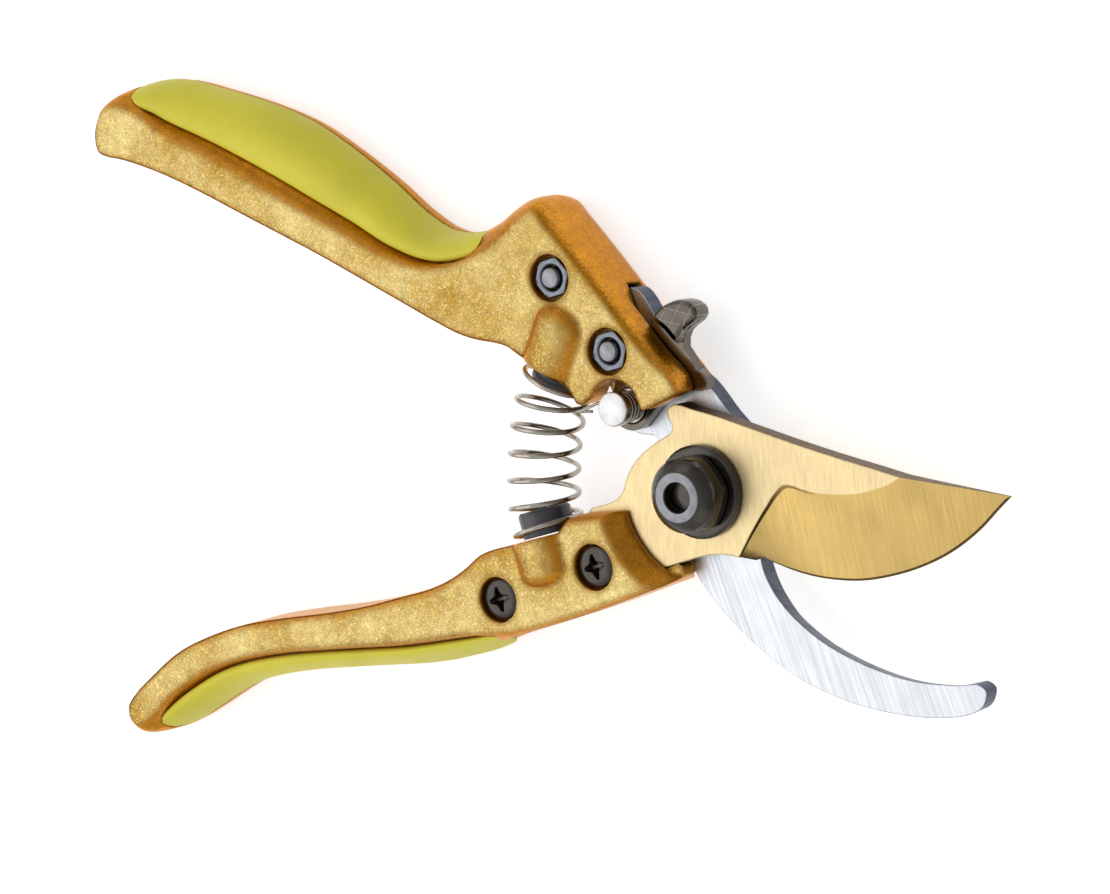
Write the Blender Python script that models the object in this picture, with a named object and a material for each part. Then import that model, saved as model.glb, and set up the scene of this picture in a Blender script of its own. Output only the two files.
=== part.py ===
"""Bypass pruner, lying on its back with its jaws open.

The main pivot's axis is the Z axis through the origin, and the backs of the
handles and of the pivot bolt's head lie on Z = 0. +X points along the tool
towards the tips. Sizes are in millimetres and are turned to metres once, when a
mesh is made. Heights are given from the plane in which the two blades meet.
"""
import math

import bmesh
import bpy
import numpy as np
from mathutils import Vector

MM = 0.001

# Driving dimensions, in millimetres and degrees.
MEETING_PLANE = 7.5          # height of the blades' meeting plane above the resting face
FRONT = 8.0                  # front faces of the handles
BACK = -7.5                  # back faces of the handles
GAP = 0.3                    # clearance between pieces that touch
CUT_THICKNESS = 3.6          # cutting blade
CUT_BACK = 0.15
CUT_FRONT = CUT_BACK + CUT_THICKNESS
HOOK_BACK = -4.0
HOOK_FRONT = -0.15
EDGE_THICKNESS = 0.35        # what is left of the cutting blade at its edge
JAW_CLOSING = 35.0           # angle through which the lower handle closes
LOCK_THROW = 10.0            # angle through which the lock lever turns

PIVOT_HOLE = 5.9
BUSH_OUTER = 5.6
BUSH_INNER = 4.2
BOLT_SHANK = 3.9
HEAD_RADIUS = 8.2

TANG_ANGLE = math.radians(135.0)      # direction of the upper handle's nose and tang
ROOF = 12.1                           # the nose's ridge, measured square to that direction

UPPER_BOLTS = {"rear": (-30.8, 36.5), "front": (-17.9, 24.1)}
LOWER_SCREWS = {"rear": (-42.7, -24.8), "front": (-20.8, -15.8)}
FASTENER_SHANK = 1.9
FASTENER_HOLE = 2.2
RECESS_RADIUS = 4.4
RECESS_DEPTH = 3.0
BACK_RECESS_DEPTH = 2.0

LOCK_PIN = (-16.4, 13.8)
LOCK_PIN_RADIUS = 3.15
LOCK_PIN_TOP = 8.4
PIN_WAIST = 2.1
ARCH_RADIUS = 5.45
LEVER_BACK = 0.3
LEVER_FRONT = 2.5

SPRING_HEIGHT = 3.0          # the main spring's axis, above the meeting plane
SPRING_WIRE = 1.0
SPRING_RADIUS = 6.5
SPRING_TURNS = 6.67
SPRING_START = -36.0         # where the wire starts round the axis, in degrees
END_PITCH = 0.54             # the end turns' pitch, as a share of the even pitch
SEAT_RADIUS = 5.0
BOSS_RADIUS = 7.4
UPPER_BOSS = ((-31.5, 18.9), (-0.433, -0.901))     # centre of the face, and its normal
LOWER_BOSS = ((-34.1, -12.2), (-0.319, 0.948))
UPPER_SWELL = ((-31.8, 19.5), (-0.36, -0.933))     # the swell behind the upper boss
LOWER_SWELL = LOWER_BOSS
UPPER_SEAT_LENGTH = 3.0
LOWER_SEAT_LENGTH = 5.2

UPPER_GRIP_ENDS = (-138.0, -48.5)
LOWER_GRIP_ENDS = (-131.8, -43.5)
GRIP_END = 9.0               # length over which the insert's ends narrow
# How far the lower insert stands out of its handle, by place along it.
LOWER_GRIP_PROUD = [(-132.0, 0.0), (-108.0, 0.0), (-86.0, 0.7), (-60.0, 1.1), (-44.0, 0.7)]

# Each outline runs anticlockwise. A point is (x, y, inset of the front face,
# depth over which the edge rounds in, share of the palm section), with the back
# face's own inset after them where it differs.
UPPER_HANDLE = [
    (-144.4, 54.3, 0.9, 0.9, 0), (-142.4, 53.6, 0.8, 0.8, 0), (-138.6, 53.2, 0.8, 0.8, 0),
    (-127.7, 51.0, 0.8, 0.8, 0), (-116.9, 47.8, 0.8, 0.8, 0), (-106.4, 44.2, 0.8, 0.8, 0),
    (-96.1, 40.7, 0.8, 0.8, 0), (-85.9, 37.2, 0.8, 0.8, 0), (-76.0, 33.5, 0.8, 0.8, 0),
    (-66.2, 29.8, 0.8, 0.8, 0), (-56.6, 26.2, 0.8, 0.8, 0), (-51.8, 24.6, 0.8, 0.8, 0),
    (-47.1, 23.8, 0.9, 0.9, 0), (-43.5, 23.6, 1.0, 1.0, 0), (-40.6, 23.1, 1.0, 1.0, 0),
    (-38.8, 22.4, 0.6, 0.6, 0), (-32.5, 19.4, 0.5, 0.5, 0), (-26.6, 16.5, 0.6, 0.6, 0),
    (-25.7, 15.5, 0.6, 0.8, 0), (-24.7, 14.0, 0.6, 0.8, 0), (-23.6, 13.8, 0.6, 0.8, 0),
    (-22.5, 14.7, 0.6, 0.8, 0), "arch",
    (-10.4, 14.1, 0.5, 0.8, 0), (-9.2, 14.4, 0.7, 1.0, 0), (-6.5, 15.8, 0.9, 1.0, 0),
    (-4.1, 17.0, 0.8, 1.4, 0), (-2.6, 18.2, 0.9, 2.0, 0), (-3.0, 19.6, 1.2, 4.0, 0),
    (-8.3, 25.0, 2.3, 6.5, 0), (-19.3, 35.9, 2.3, 6.5, 0), (-28.3, 44.8, 2.4, 6.5, 0),
    (-31.7, 48.1, 2.7, 6.5, 0), (-33.6, 50.0, 2.9, 6.5, 0), (-35.5, 50.7, 3.2, 6.5, 0),
    (-38.0, 50.3, 4.3, 6.5, 0), (-40.9, 48.8, 5.6, 6.5, 0), (-45.6, 45.6, 6.4, 6.5, 0.1),
    (-50.2, 43.5, 5.8, 6.5, 0.3), (-54.5, 42.5, 6.0, 6.5, 0.6), (-58.5, 42.3, 6.6, 6.5, 0.9),
    (-62.4, 43.0, 7.2, 6.5, 1), (-67.0, 45.2, 8.6, 6.5, 1), (-75.6, 50.9, 11.2, 6.5, 1),
    (-85.4, 56.6, 13.4, 6.5, 1), (-95.5, 61.5, 14.4, 6.5, 1), (-105.7, 64.6, 13.6, 6.5, 1),
    (-113.5, 66.3, 12.4, 6.5, 1), (-119.5, 67.4, 11.4, 6.5, 1), (-125.0, 68.4, 10.6, 6.5, 1),
    (-130.5, 68.9, 9.0, 6.5, 0.9), (-135.5, 68.3, 7.0, 6.0, 0.6), (-139.5, 67.0, 5.0, 5.0, 0.3),
    (-142.6, 65.0, 3.0, 4.0, 0), (-144.4, 62.6, 1.6, 2.0, 0), (-145.1, 59.5, 1.0, 1.0, 0),
    (-145.2, 56.2, 0.9, 0.9, 0),
]
LOWER_HANDLE = [
    (-16.0, -5.4, 1.2, 1.6, 0), (-18.7, -5.7, 1.6, 2.6, 0), (-22.5, -6.3, 2.0, 2.6, 0),
    (-25.9, -7.1, 2.0, 2.6, 0), (-27.9, -8.1, 1.8, 2.2, 0), (-29.4, -10.0, 1.4, 1.6, 0),
    (-30.6, -11.0, 0.8, 1.0, 0), (-35.4, -12.6, 0.5, 0.5, 0), (-41.6, -14.7, 0.8, 1.0, 0),
    (-44.5, -15.6, 1.6, 1.4, 0), (-47.6, -17.1, 2.2, 1.4, 0), (-50.6, -19.7, 2.4, 1.4, 0),
    (-54.2, -22.3, 2.4, 1.4, 0), (-59.2, -24.9, 2.4, 1.4, 0), (-66.7, -27.6, 2.4, 1.4, 0),
    (-76.8, -31.0, 2.4, 1.4, 0), (-87.1, -33.7, 2.4, 1.4, 0), (-97.6, -36.1, 2.4, 1.4, 0),
    (-108.3, -39.0, 2.2, 1.3, 0), (-116.6, -42.3, 2.0, 1.2, 0), (-125.0, -46.7, 1.6, 1.0, 0),
    (-132.2, -52.5, 1.2, 0.8, 0), (-137.9, -57.9, 0.8, 0.8, 0), (-139.6, -60.2, 0.8, 0.8, 0),
    (-140.2, -62.4, 1.2, 1.4, 0), (-139.2, -64.6, 2.0, 2.4, 0), (-137.0, -66.0, 3.0, 3.4, 0),
    (-133.5, -65.8, 4.2, 4.4, 0.3), (-129.5, -63.9, 5.0, 5.0, 0.6), (-124.6, -60.7, 5.8, 6.0, 1),
    (-119.0, -57.0, 6.0, 6.0, 1), (-113.5, -53.6, 5.8, 6.0, 1), (-107.6, -51.0, 5.6, 6.0, 1),
    (-97.0, -47.6, 5.2, 6.0, 1), (-86.0, -45.0, 4.8, 6.0, 1), (-75.8, -42.9, 4.6, 6.0, 1),
    (-65.7, -40.8, 4.4, 6.0, 1), (-55.8, -38.0, 4.0, 6.0, 1), (-48.6, -35.6, 3.4, 5.0, 0.7),
    (-42.3, -32.7, 2.2, 3.0, 0.1), (-35.3, -30.0, 1.2, 2.0, 0, 2.6),
    (-26.2, -26.4, 1.0, 1.6, 0, 2.6), (-17.2, -22.6, 1.0, 1.6, 0, 2.6),
    (-9.9, -19.3, 1.0, 1.4, 0, 2.6), (-5.3, -17.1, 0.9, 1.2, 0, 1.6),
    (-3.7, -15.8, 0.8, 1.0, 0), (-4.0, -14.3, 0.8, 1.0, 0), (-6.5, -13.6, 0.8, 1.0, 0),
    (-11.0, -11.2, 0.8, 1.0, 0), (-14.4, -7.6, 0.8, 1.0, 0),
]
# (share of the inset, height): the palm side, from the front face to the back.
PALM_SECTION = [
    (1.00, 8.0), (0.94, 7.75), (0.87, 7.0), (0.81, 5.9), (0.73, 5.0), (0.58, 5.2),
    (0.40, 5.0), (0.22, 3.8), (0.08, 2.0), (0.0, -0.6), (0.0, -4.6), (0.04, -6.5), (0.14, -7.5),
]
# (share of the inset, height) of the soft insert's outer face.
GRIP_SECTION = [
    (0.735, 5.3), (0.70, 6.0), (0.58, 6.35), (0.42, 6.1), (0.26, 5.1), (0.12, 3.5),
    (0.02, 1.5), (-0.03, -0.8), (-0.02, -2.6), (0.03, -3.4),
]
# The same places on the insert's inner face.
GRIP_INNER = [
    (0.72, 3.7), (0.68, 4.0), (0.58, 4.2), (0.46, 4.0), (0.35, 3.2), (0.25, 1.9),
    (0.17, 0.4), (0.14, -1.0), (0.14, -2.3), (0.15, -3.2),
]

CUTTING_EDGE = [
    (10.9, -11.4), (13.5, -11.9), (17.7, -12.8), (22.9, -13.35), (26.9, -13.3), (31.5, -12.8),
    (36.9, -11.4), (42.8, -9.1), (48.6, -5.8), (54.2, -1.1), (57.8, 3.0), (59.9, 5.3),
]
BEVEL_LINE = [
    (8.0, -11.1), (10.3, -6.7), (13.4, -1.5), (15.6, 1.7), (16.9, 2.9), (18.5, 3.1), (20.5, 2.7),
    (23.6, 2.35), (26.6, 2.4), (29.6, 2.7), (32.6, 3.3), (35.6, 4.3), (38.5, 5.6), (40.4, 6.9),
]
SPINE_END = [(44.9, 6.5), (49.9, 6.1), (54.9, 5.7), (59.9, 5.3)]
CUTTING_SPINE = [
    (34.5, 7.9), (26.5, 9.2), (20.4, 10.3), (12.2, 11.95), (8.0, 12.8), (3.8, 13.65),
    (-0.5, 14.35), (-2.6, 14.65), (-4.8, 15.1), (-6.5, 15.0), (-7.4, 14.3), (-7.6, 13.4),
    (-7.3, 12.4), (-6.5, 11.5), (-6.4, 10.6), (-7.0, 9.7), (-9.1, 8.4), (-11.2, 6.9),
    (-13.4, 5.0), (-15.6, 2.2), (-16.5, 0.2), (-17.3, -2.2), (-18.2, -3.3), (-20.4, -4.5),
    (-24.1, -5.8),
]
CUTTING_TAIL = [
    (-27.0, -9.2), (-33.0, -15.6), (-40.0, -19.6), (-46.0, -21.6), (-47.8, -25.0),
    (-45.5, -28.2), (-36.0, -26.0), (-24.0, -21.6), (-14.0, -17.6),
]
CUTTING_HEEL = [
    (-7.4, -14.75), (-4.5, -13.6), (-2.4, -12.8), (-0.2, -12.0), (1.9, -11.4), (4.0, -11.0),
    (6.2, -10.9),
]
EDGE_ROOT = [(9.6, -11.9)]
HOOK_OUTLINE = [
    (-6.6, -12.2), (-4.9, -14.4), (-2.7, -17.4), (-0.1, -20.2), (2.7, -22.8), (6.0, -25.4),
    (10.3, -28.3), (14.5, -30.6), (18.8, -32.5), (22.9, -33.8), (31.1, -35.4), (39.2, -35.8),
    (47.1, -35.1), (53.0, -33.5), (54.9, -32.3), (55.8, -30.4), (55.8, -29.0), (54.8, -28.3),
    (50.6, -28.8), (46.8, -29.2), (42.8, -29.4), (38.9, -29.2), (34.9, -28.6), (28.8, -27.1),
    (23.6, -25.2), (19.5, -23.0), (15.2, -19.8), (12.5, -16.8), (10.7, -13.6), (9.8, -9.5),
    (10.0, -3.0), (10.4, 3.0), (8.6, 8.6), (3.0, 14.2), (-2.0, 19.2), (-4.4, 20.8), (-10.5, 26.8),
    (-18.6, 34.9), (-21.0, 33.9), (-26.9, 39.6), (-31.3, 43.1), (-36.6, 38.2), (-36.0, 36.2),
    (-26.0, 25.0), (-22.0, 17.2), (-21.9, 13.0), (-19.6, 9.4), (-16.0, 8.3), (-12.6, 8.0),
    (-12.4, 5.4), (-13.5, 0.6), (-12.9, -4.2), (-10.4, -8.7),
]
# The lock lever in its locked place. It is stored turned back by LOCK_THROW.
LEVER_NOSE = [
    (-12.2, 11.7), (-9.5, 13.9), (-7.2, 15.4), (-4.9, 16.1), (-3.3, 15.9), (-2.5, 15.2),
    (-0.4, 15.1), (0.6, 15.3), (1.0, 17.4), (-0.6, 18.8),
]
# Its upper part as it stands unlocked.
LEVER_TOP = [
    (-2.4, 21.5), (-3.4, 23.6), (-4.9, 25.4), (-4.9, 27.0), (-4.3, 28.4), (-3.2, 29.4),
    (-1.8, 30.4), (-1.1, 31.5), (-1.3, 32.6), (-2.4, 33.5), (-4.6, 34.0), (-7.4, 33.2),
    (-9.4, 31.9), (-11.8, 29.6), (-13.6, 25.6), (-15.4, 21.2), (-19.6, 18.0),
]
PAD_OUTLINE = [
    (-5.1, 26.4), (-4.9, 27.1), (-4.3, 28.5), (-3.2, 29.5), (-1.8, 30.5), (-1.0, 31.6), (-1.2, 32.7),
    (-2.3, 33.6), (-4.6, 34.1), (-7.4, 33.3), (-9.4, 32.0), (-10.6, 30.4), (-7.8, 28.2),
]
PAD_BACK = -0.2
PAD_FRONT = 4.6

PAINT = ("gold_paint", (0.80, 0.62, 0.30), 0.35, 0.9)
RUBBER = ("lime_rubber", (0.58, 0.56, 0.09), 0.75, 0.0)
GOLD = ("gold_coating", (0.86, 0.70, 0.38), 0.25, 1.0)
STEEL = ("ground_steel", (0.78, 0.79, 0.80), 0.30, 1.0)
CHROME = ("bright_steel", (0.80, 0.80, 0.81), 0.12, 1.0)
BLACK = ("black_oxide", (0.02, 0.02, 0.022), 0.35, 0.8)
PLASTIC = ("black_plastic", (0.02, 0.02, 0.02), 0.5, 0.0)


# ---------------------------------------------------------------- shape making

def clear_scene():
    """Remove every object that the file holds."""
    for item in list(bpy.data.objects):
        bpy.data.objects.remove(item, do_unlink=True)


def finish_material(finish):
    """Return the Principled material that a finish describes."""
    name, colour, roughness, metallic = finish
    existing = bpy.data.materials.get(name)
    if existing:
        return existing
    material = bpy.data.materials.new(name)
    material.use_nodes = True
    shader = material.node_tree.nodes["Principled BSDF"]
    shader.inputs["Base Color"].default_value = (*colour, 1.0)
    shader.inputs["Roughness"].default_value = roughness
    shader.inputs["Metallic"].default_value = metallic
    return material


def to_metres(point):
    """Turn (x, y, height) in millimetres into metres above the resting face."""
    x, y, height = point
    return (x * MM, y * MM, (height + MEETING_PLANE) * MM)


def add_object(name, points, faces, finish=None):
    """Make one object from millimetre points; without a finish it is a cutter."""
    mesh = bpy.data.meshes.new(name)
    mesh.from_pydata([to_metres(p) for p in points], [], faces)
    shape = bmesh.new()
    shape.from_mesh(mesh)
    bmesh.ops.recalc_face_normals(shape, faces=shape.faces)
    shape.to_mesh(mesh)
    shape.free()
    item = bpy.data.objects.new(name, mesh)
    bpy.context.scene.collection.objects.link(item)
    if finish is None:
        item.hide_render = True
        item.display_type = "WIRE"
    else:
        mesh.materials.append(finish_material(finish))
        mesh.shade_smooth()
        mesh.set_sharp_from_angle(angle=math.radians(35))
    return item


def boolean(item, other, operation="DIFFERENCE"):
    """Cut or join another object into an object with a live modifier."""
    modifier = item.modifiers.new(other.name, "BOOLEAN")
    modifier.operation = operation
    modifier.object = other
    modifier.solver = "EXACT"


def curve_through(points, step, closed=False):
    """Return points about one step apart on a smooth curve through the given ones."""
    data = np.array(points, dtype=float)
    count = len(data)
    result = []
    for i in range(count if closed else count - 1):
        before = data[(i - 1) % count] if closed or i > 0 else 2 * data[0] - data[1]
        start = data[i]
        end = data[(i + 1) % count]
        after = data[(i + 2) % count] if closed or i + 2 < count else 2 * end - start
        length = math.dist(start[:2], end[:2])
        pieces = max(1, round(length / step))
        pull_in = tangent(before, start, end)
        pull_out = tangent(start, end, after)
        for k in range(pieces):
            t = k / pieces
            result.append(hermite(start, end, pull_in * length, pull_out * length, t))
    if not closed:
        result.append(data[-1])
    return result


def tangent(before, point, after):
    """Return the unit-speed direction of a centripetal curve at a point."""
    near = max(math.dist(before[:2], point[:2]), 1e-6)
    far = max(math.dist(point[:2], after[:2]), 1e-6)
    return ((point - before) / near * far + (after - point) / far * near) / (near + far)


def hermite(start, end, pull_in, pull_out, t):
    """Return the point at share t of one cubic stretch."""
    return (start * (2 * t**3 - 3 * t**2 + 1) + pull_in * (t**3 - 2 * t**2 + t)
            + end * (3 * t**2 - 2 * t**3) + pull_out * (t**3 - t**2))


def circle(centre, radius, count, start=0.0, sweep=360.0):
    """Return points round a circle, or along an arc when the sweep is shorter."""
    whole = abs(sweep) >= 360.0
    steps = count if whole else count - 1
    angles = [math.radians(start + sweep * k / steps) for k in range(count)]
    return [(centre[0] + radius * math.cos(a), centre[1] + radius * math.sin(a)) for a in angles]


def turned_point(point, centre, degrees):
    """Turn a plan point about a centre."""
    angle = math.radians(degrees)
    x = point[0] - centre[0]
    y = point[1] - centre[1]
    return (centre[0] + x * math.cos(angle) - y * math.sin(angle),
            centre[1] + x * math.sin(angle) + y * math.cos(angle))


def on_nose(along, across):
    """Return the plan point at a place along and across the nose's own direction."""
    c = math.cos(TANG_ANGLE)
    s = math.sin(TANG_ANGLE)
    return (along * c + across * s, along * s - across * c)


def outward_normals(outline):
    """Return each point's unit normal on an anticlockwise outline."""
    data = np.array([p[:2] for p in outline], dtype=float)
    along = np.roll(data, -1, axis=0) - np.roll(data, 1, axis=0)
    normals = np.stack([along[:, 1], -along[:, 0]], axis=1)
    return normals / np.linalg.norm(normals, axis=1, keepdims=True)


def grown(outline, distance):
    """Move an anticlockwise outline outwards."""
    return [(p[0] + n[0] * distance, p[1] + n[1] * distance)
            for p, n in zip(outline, outward_normals(outline))]


def rings(loops, name, finish=None):
    """Join closed loops of equal length into a solid with a face at each end."""
    size = len(loops[0])
    points = [p for loop in loops for p in loop]
    faces = [list(range(size)), list(range((len(loops) - 1) * size, len(loops) * size))]
    for k in range(len(loops) - 1):
        for i in range(size):
            j = (i + 1) % size
            faces.append([k * size + i, k * size + j, (k + 1) * size + j, (k + 1) * size + i])
    return add_object(name, points, faces, finish)


def plate(name, outline, low, high, finish=None, chamfer=0.0):
    """Extrude a plan outline between two heights, with an optional small chamfer."""
    loops = []
    if chamfer:
        inner = grown(outline, -chamfer)
        levels = [(inner, low), (outline, low + chamfer), (outline, high - chamfer), (inner, high)]
    else:
        levels = [(outline, low), (outline, high)]
    for shape, height in levels:
        loops.append([(p[0], p[1], height) for p in shape])
    return rings(loops, name, finish)


def turned(name, centre, profile, finish=None, sides=32):
    """Turn a (radius, height) profile about an upright axis, closing both ends."""
    loops = [[(*p, height) for p in circle(centre, radius, sides)] for radius, height in profile]
    return rings(loops, name, finish)


def sleeve(name, centre, profile, finish=None, sides=32):
    """Turn a closed (radius, height) profile into a ring."""
    size = len(profile)
    points = []
    for k in range(sides):
        angle = 2 * math.pi * k / sides
        for radius, height in profile:
            points.append((centre[0] + radius * math.cos(angle),
                           centre[1] + radius * math.sin(angle), height))
    faces = []
    for k in range(sides):
        following = (k + 1) % sides
        for i in range(size):
            j = (i + 1) % size
            faces.append([k * size + i, k * size + j, following * size + j, following * size + i])
    return add_object(name, points, faces, finish)


def rod(name, base, direction, profile, finish=None, sides=28):
    """Turn a (radius, distance) profile about a level axis that leaves a boss face."""
    axis = Vector((direction[0], direction[1], 0.0)).normalized()
    side = Vector((-axis.y, axis.x, 0.0))
    loops = []
    for radius, distance in profile:
        loop = []
        for k in range(sides):
            angle = 2 * math.pi * k / sides
            loop.append((base[0] + axis.x * distance + side.x * radius * math.cos(angle),
                         base[1] + axis.y * distance + side.y * radius * math.cos(angle),
                         SPRING_HEIGHT + radius * math.sin(angle)))
        loops.append(loop)
    return rings(loops, name, finish)


def wire(name, path, diameter, finish):
    """Make a round wire along a path of millimetre points."""
    curve = bpy.data.curves.new(name, "CURVE")
    curve.dimensions = "3D"
    curve.bevel_depth = diameter / 2 * MM
    curve.bevel_resolution = 1
    curve.use_fill_caps = True
    spline = curve.splines.new("POLY")
    spline.points.add(len(path) - 1)
    for point, place in zip(spline.points, path):
        point.co = (*to_metres(place), 1.0)
    item = bpy.data.objects.new(name, curve)
    bpy.context.scene.collection.objects.link(item)
    curve.materials.append(finish_material(finish))
    return item


def report_least_gap(name, path, diameter):
    """Print a wire's least gap to itself, measured between points a turn apart."""
    data = np.array(path, dtype=float)
    steps = np.linalg.norm(np.diff(data, axis=0), axis=1)
    along = np.concatenate([[0.0], np.cumsum(steps)])
    least = min(
        float(np.linalg.norm(data[i] - data[j]))
        for i in range(len(data)) for j in range(i + 1, len(data))
        if along[j] - along[i] > 4 * diameter
    )
    print(f"{name}: least gap to itself {least - diameter:.2f} mm")


# ---------------------------------------------------------------- handles

def edge_section(inset, depth, palm, back_inset):
    """Return the (inset, height) line of a handle's edge, from front to back."""
    line = []
    back_depth = min(max(depth, back_inset), 5.5)
    for k, (share, height) in enumerate(PALM_SECTION):
        if k <= 8:
            turn = math.pi / 2 * k / 8
            plain = (inset * (1 - math.sin(turn)), FRONT - depth * (1 - math.cos(turn)))
        elif k == 9:
            plain = (0.0, min(0.0, FRONT - depth - 1.0))
        else:
            turn = math.pi / 2 * (k - 10) / 2
            plain = (back_inset * (1 - math.cos(turn)),
                     BACK + back_depth * (1 - math.sin(turn)))
        curved = (share * inset, height)
        line.append((plain[0] * (1 - palm) + curved[0] * palm,
                     plain[1] * (1 - palm) + curved[1] * palm))
    return line


def handle_outline(controls, step):
    """Return the handle's smooth outline; the word arch stands for the pin's cut-out."""
    points = []
    for control in controls:
        if control == "arch":
            arc = circle(LOCK_PIN, ARCH_RADIUS, 9, 165.0, -150.0)
            points += [(x, y, 0.6, 0.8, 0, 0.6) for x, y in arc]
        elif len(control) == 5:
            points.append((*control, min(max(control[2], 0.6), 3.4)))
        else:
            points.append(control)
    return curve_through(points, step, closed=True)


def handle_body(name, controls, step):
    """Loft a handle through its outline, each point with its own edge section."""
    outline = handle_outline(controls, step)
    normals = outward_normals(outline)
    sections = [edge_section(max(p[2], 0.3), max(p[3], 0.3), min(max(p[4], 0.0), 1.0), p[5])
                for p in outline]
    loops = []
    for k in range(len(PALM_SECTION)):
        loop = []
        for p, n, section in zip(outline, normals, sections):
            inset, height = section[k]
            loop.append((p[0] - n[0] * inset, p[1] - n[1] * inset, height))
        loops.append(loop)
    return rings(loops, name, PAINT)


def grip_shape(name, controls, ends, clearance, finish=None, proud=((0.0, 0.0),)):
    """Make the soft insert on the palm side, or its recess when there is clearance."""
    fine = handle_outline(controls, 0.5)
    places = [(fine[k] + fine[k + 1]) / 2 for k in range(0, len(fine) - 1, 7)]
    stations = [(p, n) for p, n in zip(places, outward_normals(places))
                if ends[0] < p[0] < ends[1] and p[4] > 0.02]
    first = stations[0][0][0]
    reach = abs(stations[-1][0][0] - first)
    loops = []
    for p, n in stations:
        travel = abs(p[0] - first)
        near_end = min(travel, reach - travel) + GRIP_END * 0.04
        spread = math.sqrt(1 - (1 - min(near_end / GRIP_END, 1.0)) ** 2)
        stands = np.interp(p[0], [q[0] for q in proud], [q[1] for q in proud])
        ring = grip_ring(p[2], spread, stands * spread)
        if clearance:
            ring = opened_ring(ring, clearance)
        loops.append([(p[0] - n[0] * a, p[1] - n[1] * a, b) for a, b in ring])
    if clearance:
        loops = stretched_ends(loops, clearance)
    return rings(loops, name, finish)


def opened_ring(ring, clearance):
    """Widen an insert's section into its recess, which runs well out of the handle."""
    size = len(GRIP_SECTION)
    near = grown(ring, clearance)
    far = grown(ring, 1.6)
    top = (near[0][0] + clearance * 0.3, ring[0][1] + 1.6)
    bottom = (ring[size - 1][0] - 1.6, near[size - 1][1])
    return [top] + far[1:size - 1] + [bottom] + near[size:]


def grip_ring(inset, spread, proud):
    """Return the insert's (inset, height) section, narrowed about its middle by a share."""
    size = len(GRIP_SECTION)
    lower = np.interp([height for _, height in GRIP_SECTION], [-0.8, 5.0], [1.0, 0.0])
    whole = np.array([(share * inset - proud * out, height)
                      for (share, height), out in zip(GRIP_SECTION, lower)])
    inner = np.array([(share * inset, height) for share, height in GRIP_INNER])
    places = 0.5 + (np.linspace(0.0, 1.0, size) - 0.5) * spread
    knots = np.linspace(0.0, 1.0, size)
    outer_line = [(np.interp(t, knots, whole[:, 0]), np.interp(t, knots, whole[:, 1]))
                  for t in places]
    inner_line = [(np.interp(t, knots, inner[:, 0]), np.interp(t, knots, inner[:, 1]))
                  for t in places]
    return outer_line + inner_line[::-1]


def stretched_ends(loops, distance):
    """Move the first and last loops of a recess out past the insert's ends."""
    data = [np.array(loop) for loop in loops]
    for end, inner in ((0, 1), (-1, -2)):
        away = data[end].mean(axis=0) - data[inner].mean(axis=0)
        data[end] = data[end] + away / np.linalg.norm(away) * distance
    return [[tuple(p) for p in loop] for loop in data]


def recess(item, centre, radius, low, high):
    """Cut a round recess or hole into an object."""
    tool = turned(f"{item.name}_cut_{len(item.modifiers)}", centre,
                  [(radius, low), (radius, high)], sides=28)
    boolean(item, tool)


def boss(item, place, swell_place, length):
    """Join the spring's round boss, with its rounded swell, to a handle."""
    centre, normal = swell_place
    swell = rod(f"{item.name}_boss", centre, (-normal[0], -normal[1]),
                [(BOSS_RADIUS - 0.4, 0.0), (BOSS_RADIUS, 0.4), (BOSS_RADIUS, length * 0.74),
                 (BOSS_RADIUS - 0.8, length * 0.9), (BOSS_RADIUS - 2.4, length)])
    boolean(item, swell, "UNION")
    centre, normal = place
    clear = rod(f"{item.name}_seat_room", centre, normal,
                [(BOSS_RADIUS - 0.2, 0.0), (BOSS_RADIUS - 0.2, 7.0)])
    boolean(item, clear)


def fastener_holes(item, centres):
    """Cut each fastener's hole, front recess and back recess."""
    for centre in centres:
        recess(item, centre, FASTENER_HOLE, BACK - 1, FRONT + 1)
        recess(item, centre, RECESS_RADIUS, FRONT - RECESS_DEPTH, FRONT + 2)
        recess(item, centre, RECESS_RADIUS, BACK - 1, BACK + BACK_RECESS_DEPTH)


def upper_handle():
    """Make the handle that carries the hook."""
    item = handle_body("upper_handle", UPPER_HANDLE, 3.4)
    boss(item, UPPER_BOSS, UPPER_SWELL, 12.5)
    tang_room = [on_nose(*p) for p in (
        (4, 18), (38.9, 18), (38.9, 9.9), (54.4, 9.9), (54.4, -1.6), (33.0, -3.6), (28.5, -14),
        (4, -14))]
    boolean(item, plate("tang_room", tang_room[::-1], HOOK_BACK - GAP, GAP))
    lever_room = [on_nose(*p) for p in (
        (4, 18), (31.5, 18), (31.5, -3.6), (28.5, -14), (4, -14))]
    boolean(item, plate("lever_room", lever_room[::-1], 0.0, LEVER_FRONT + GAP + 0.05))
    relief = [on_nose(*p) for p in ((4, 18), (30.6, 18), (30.6, 9.7), (4, 9.7))]
    boolean(item, plate("nose_relief", relief[::-1], BACK - 1, HOOK_BACK))
    grip = grip_shape("upper_grip_recess", UPPER_HANDLE, UPPER_GRIP_ENDS, 0.5)
    boolean(item, grip)
    fastener_holes(item, UPPER_BOLTS.values())
    return item


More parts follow.
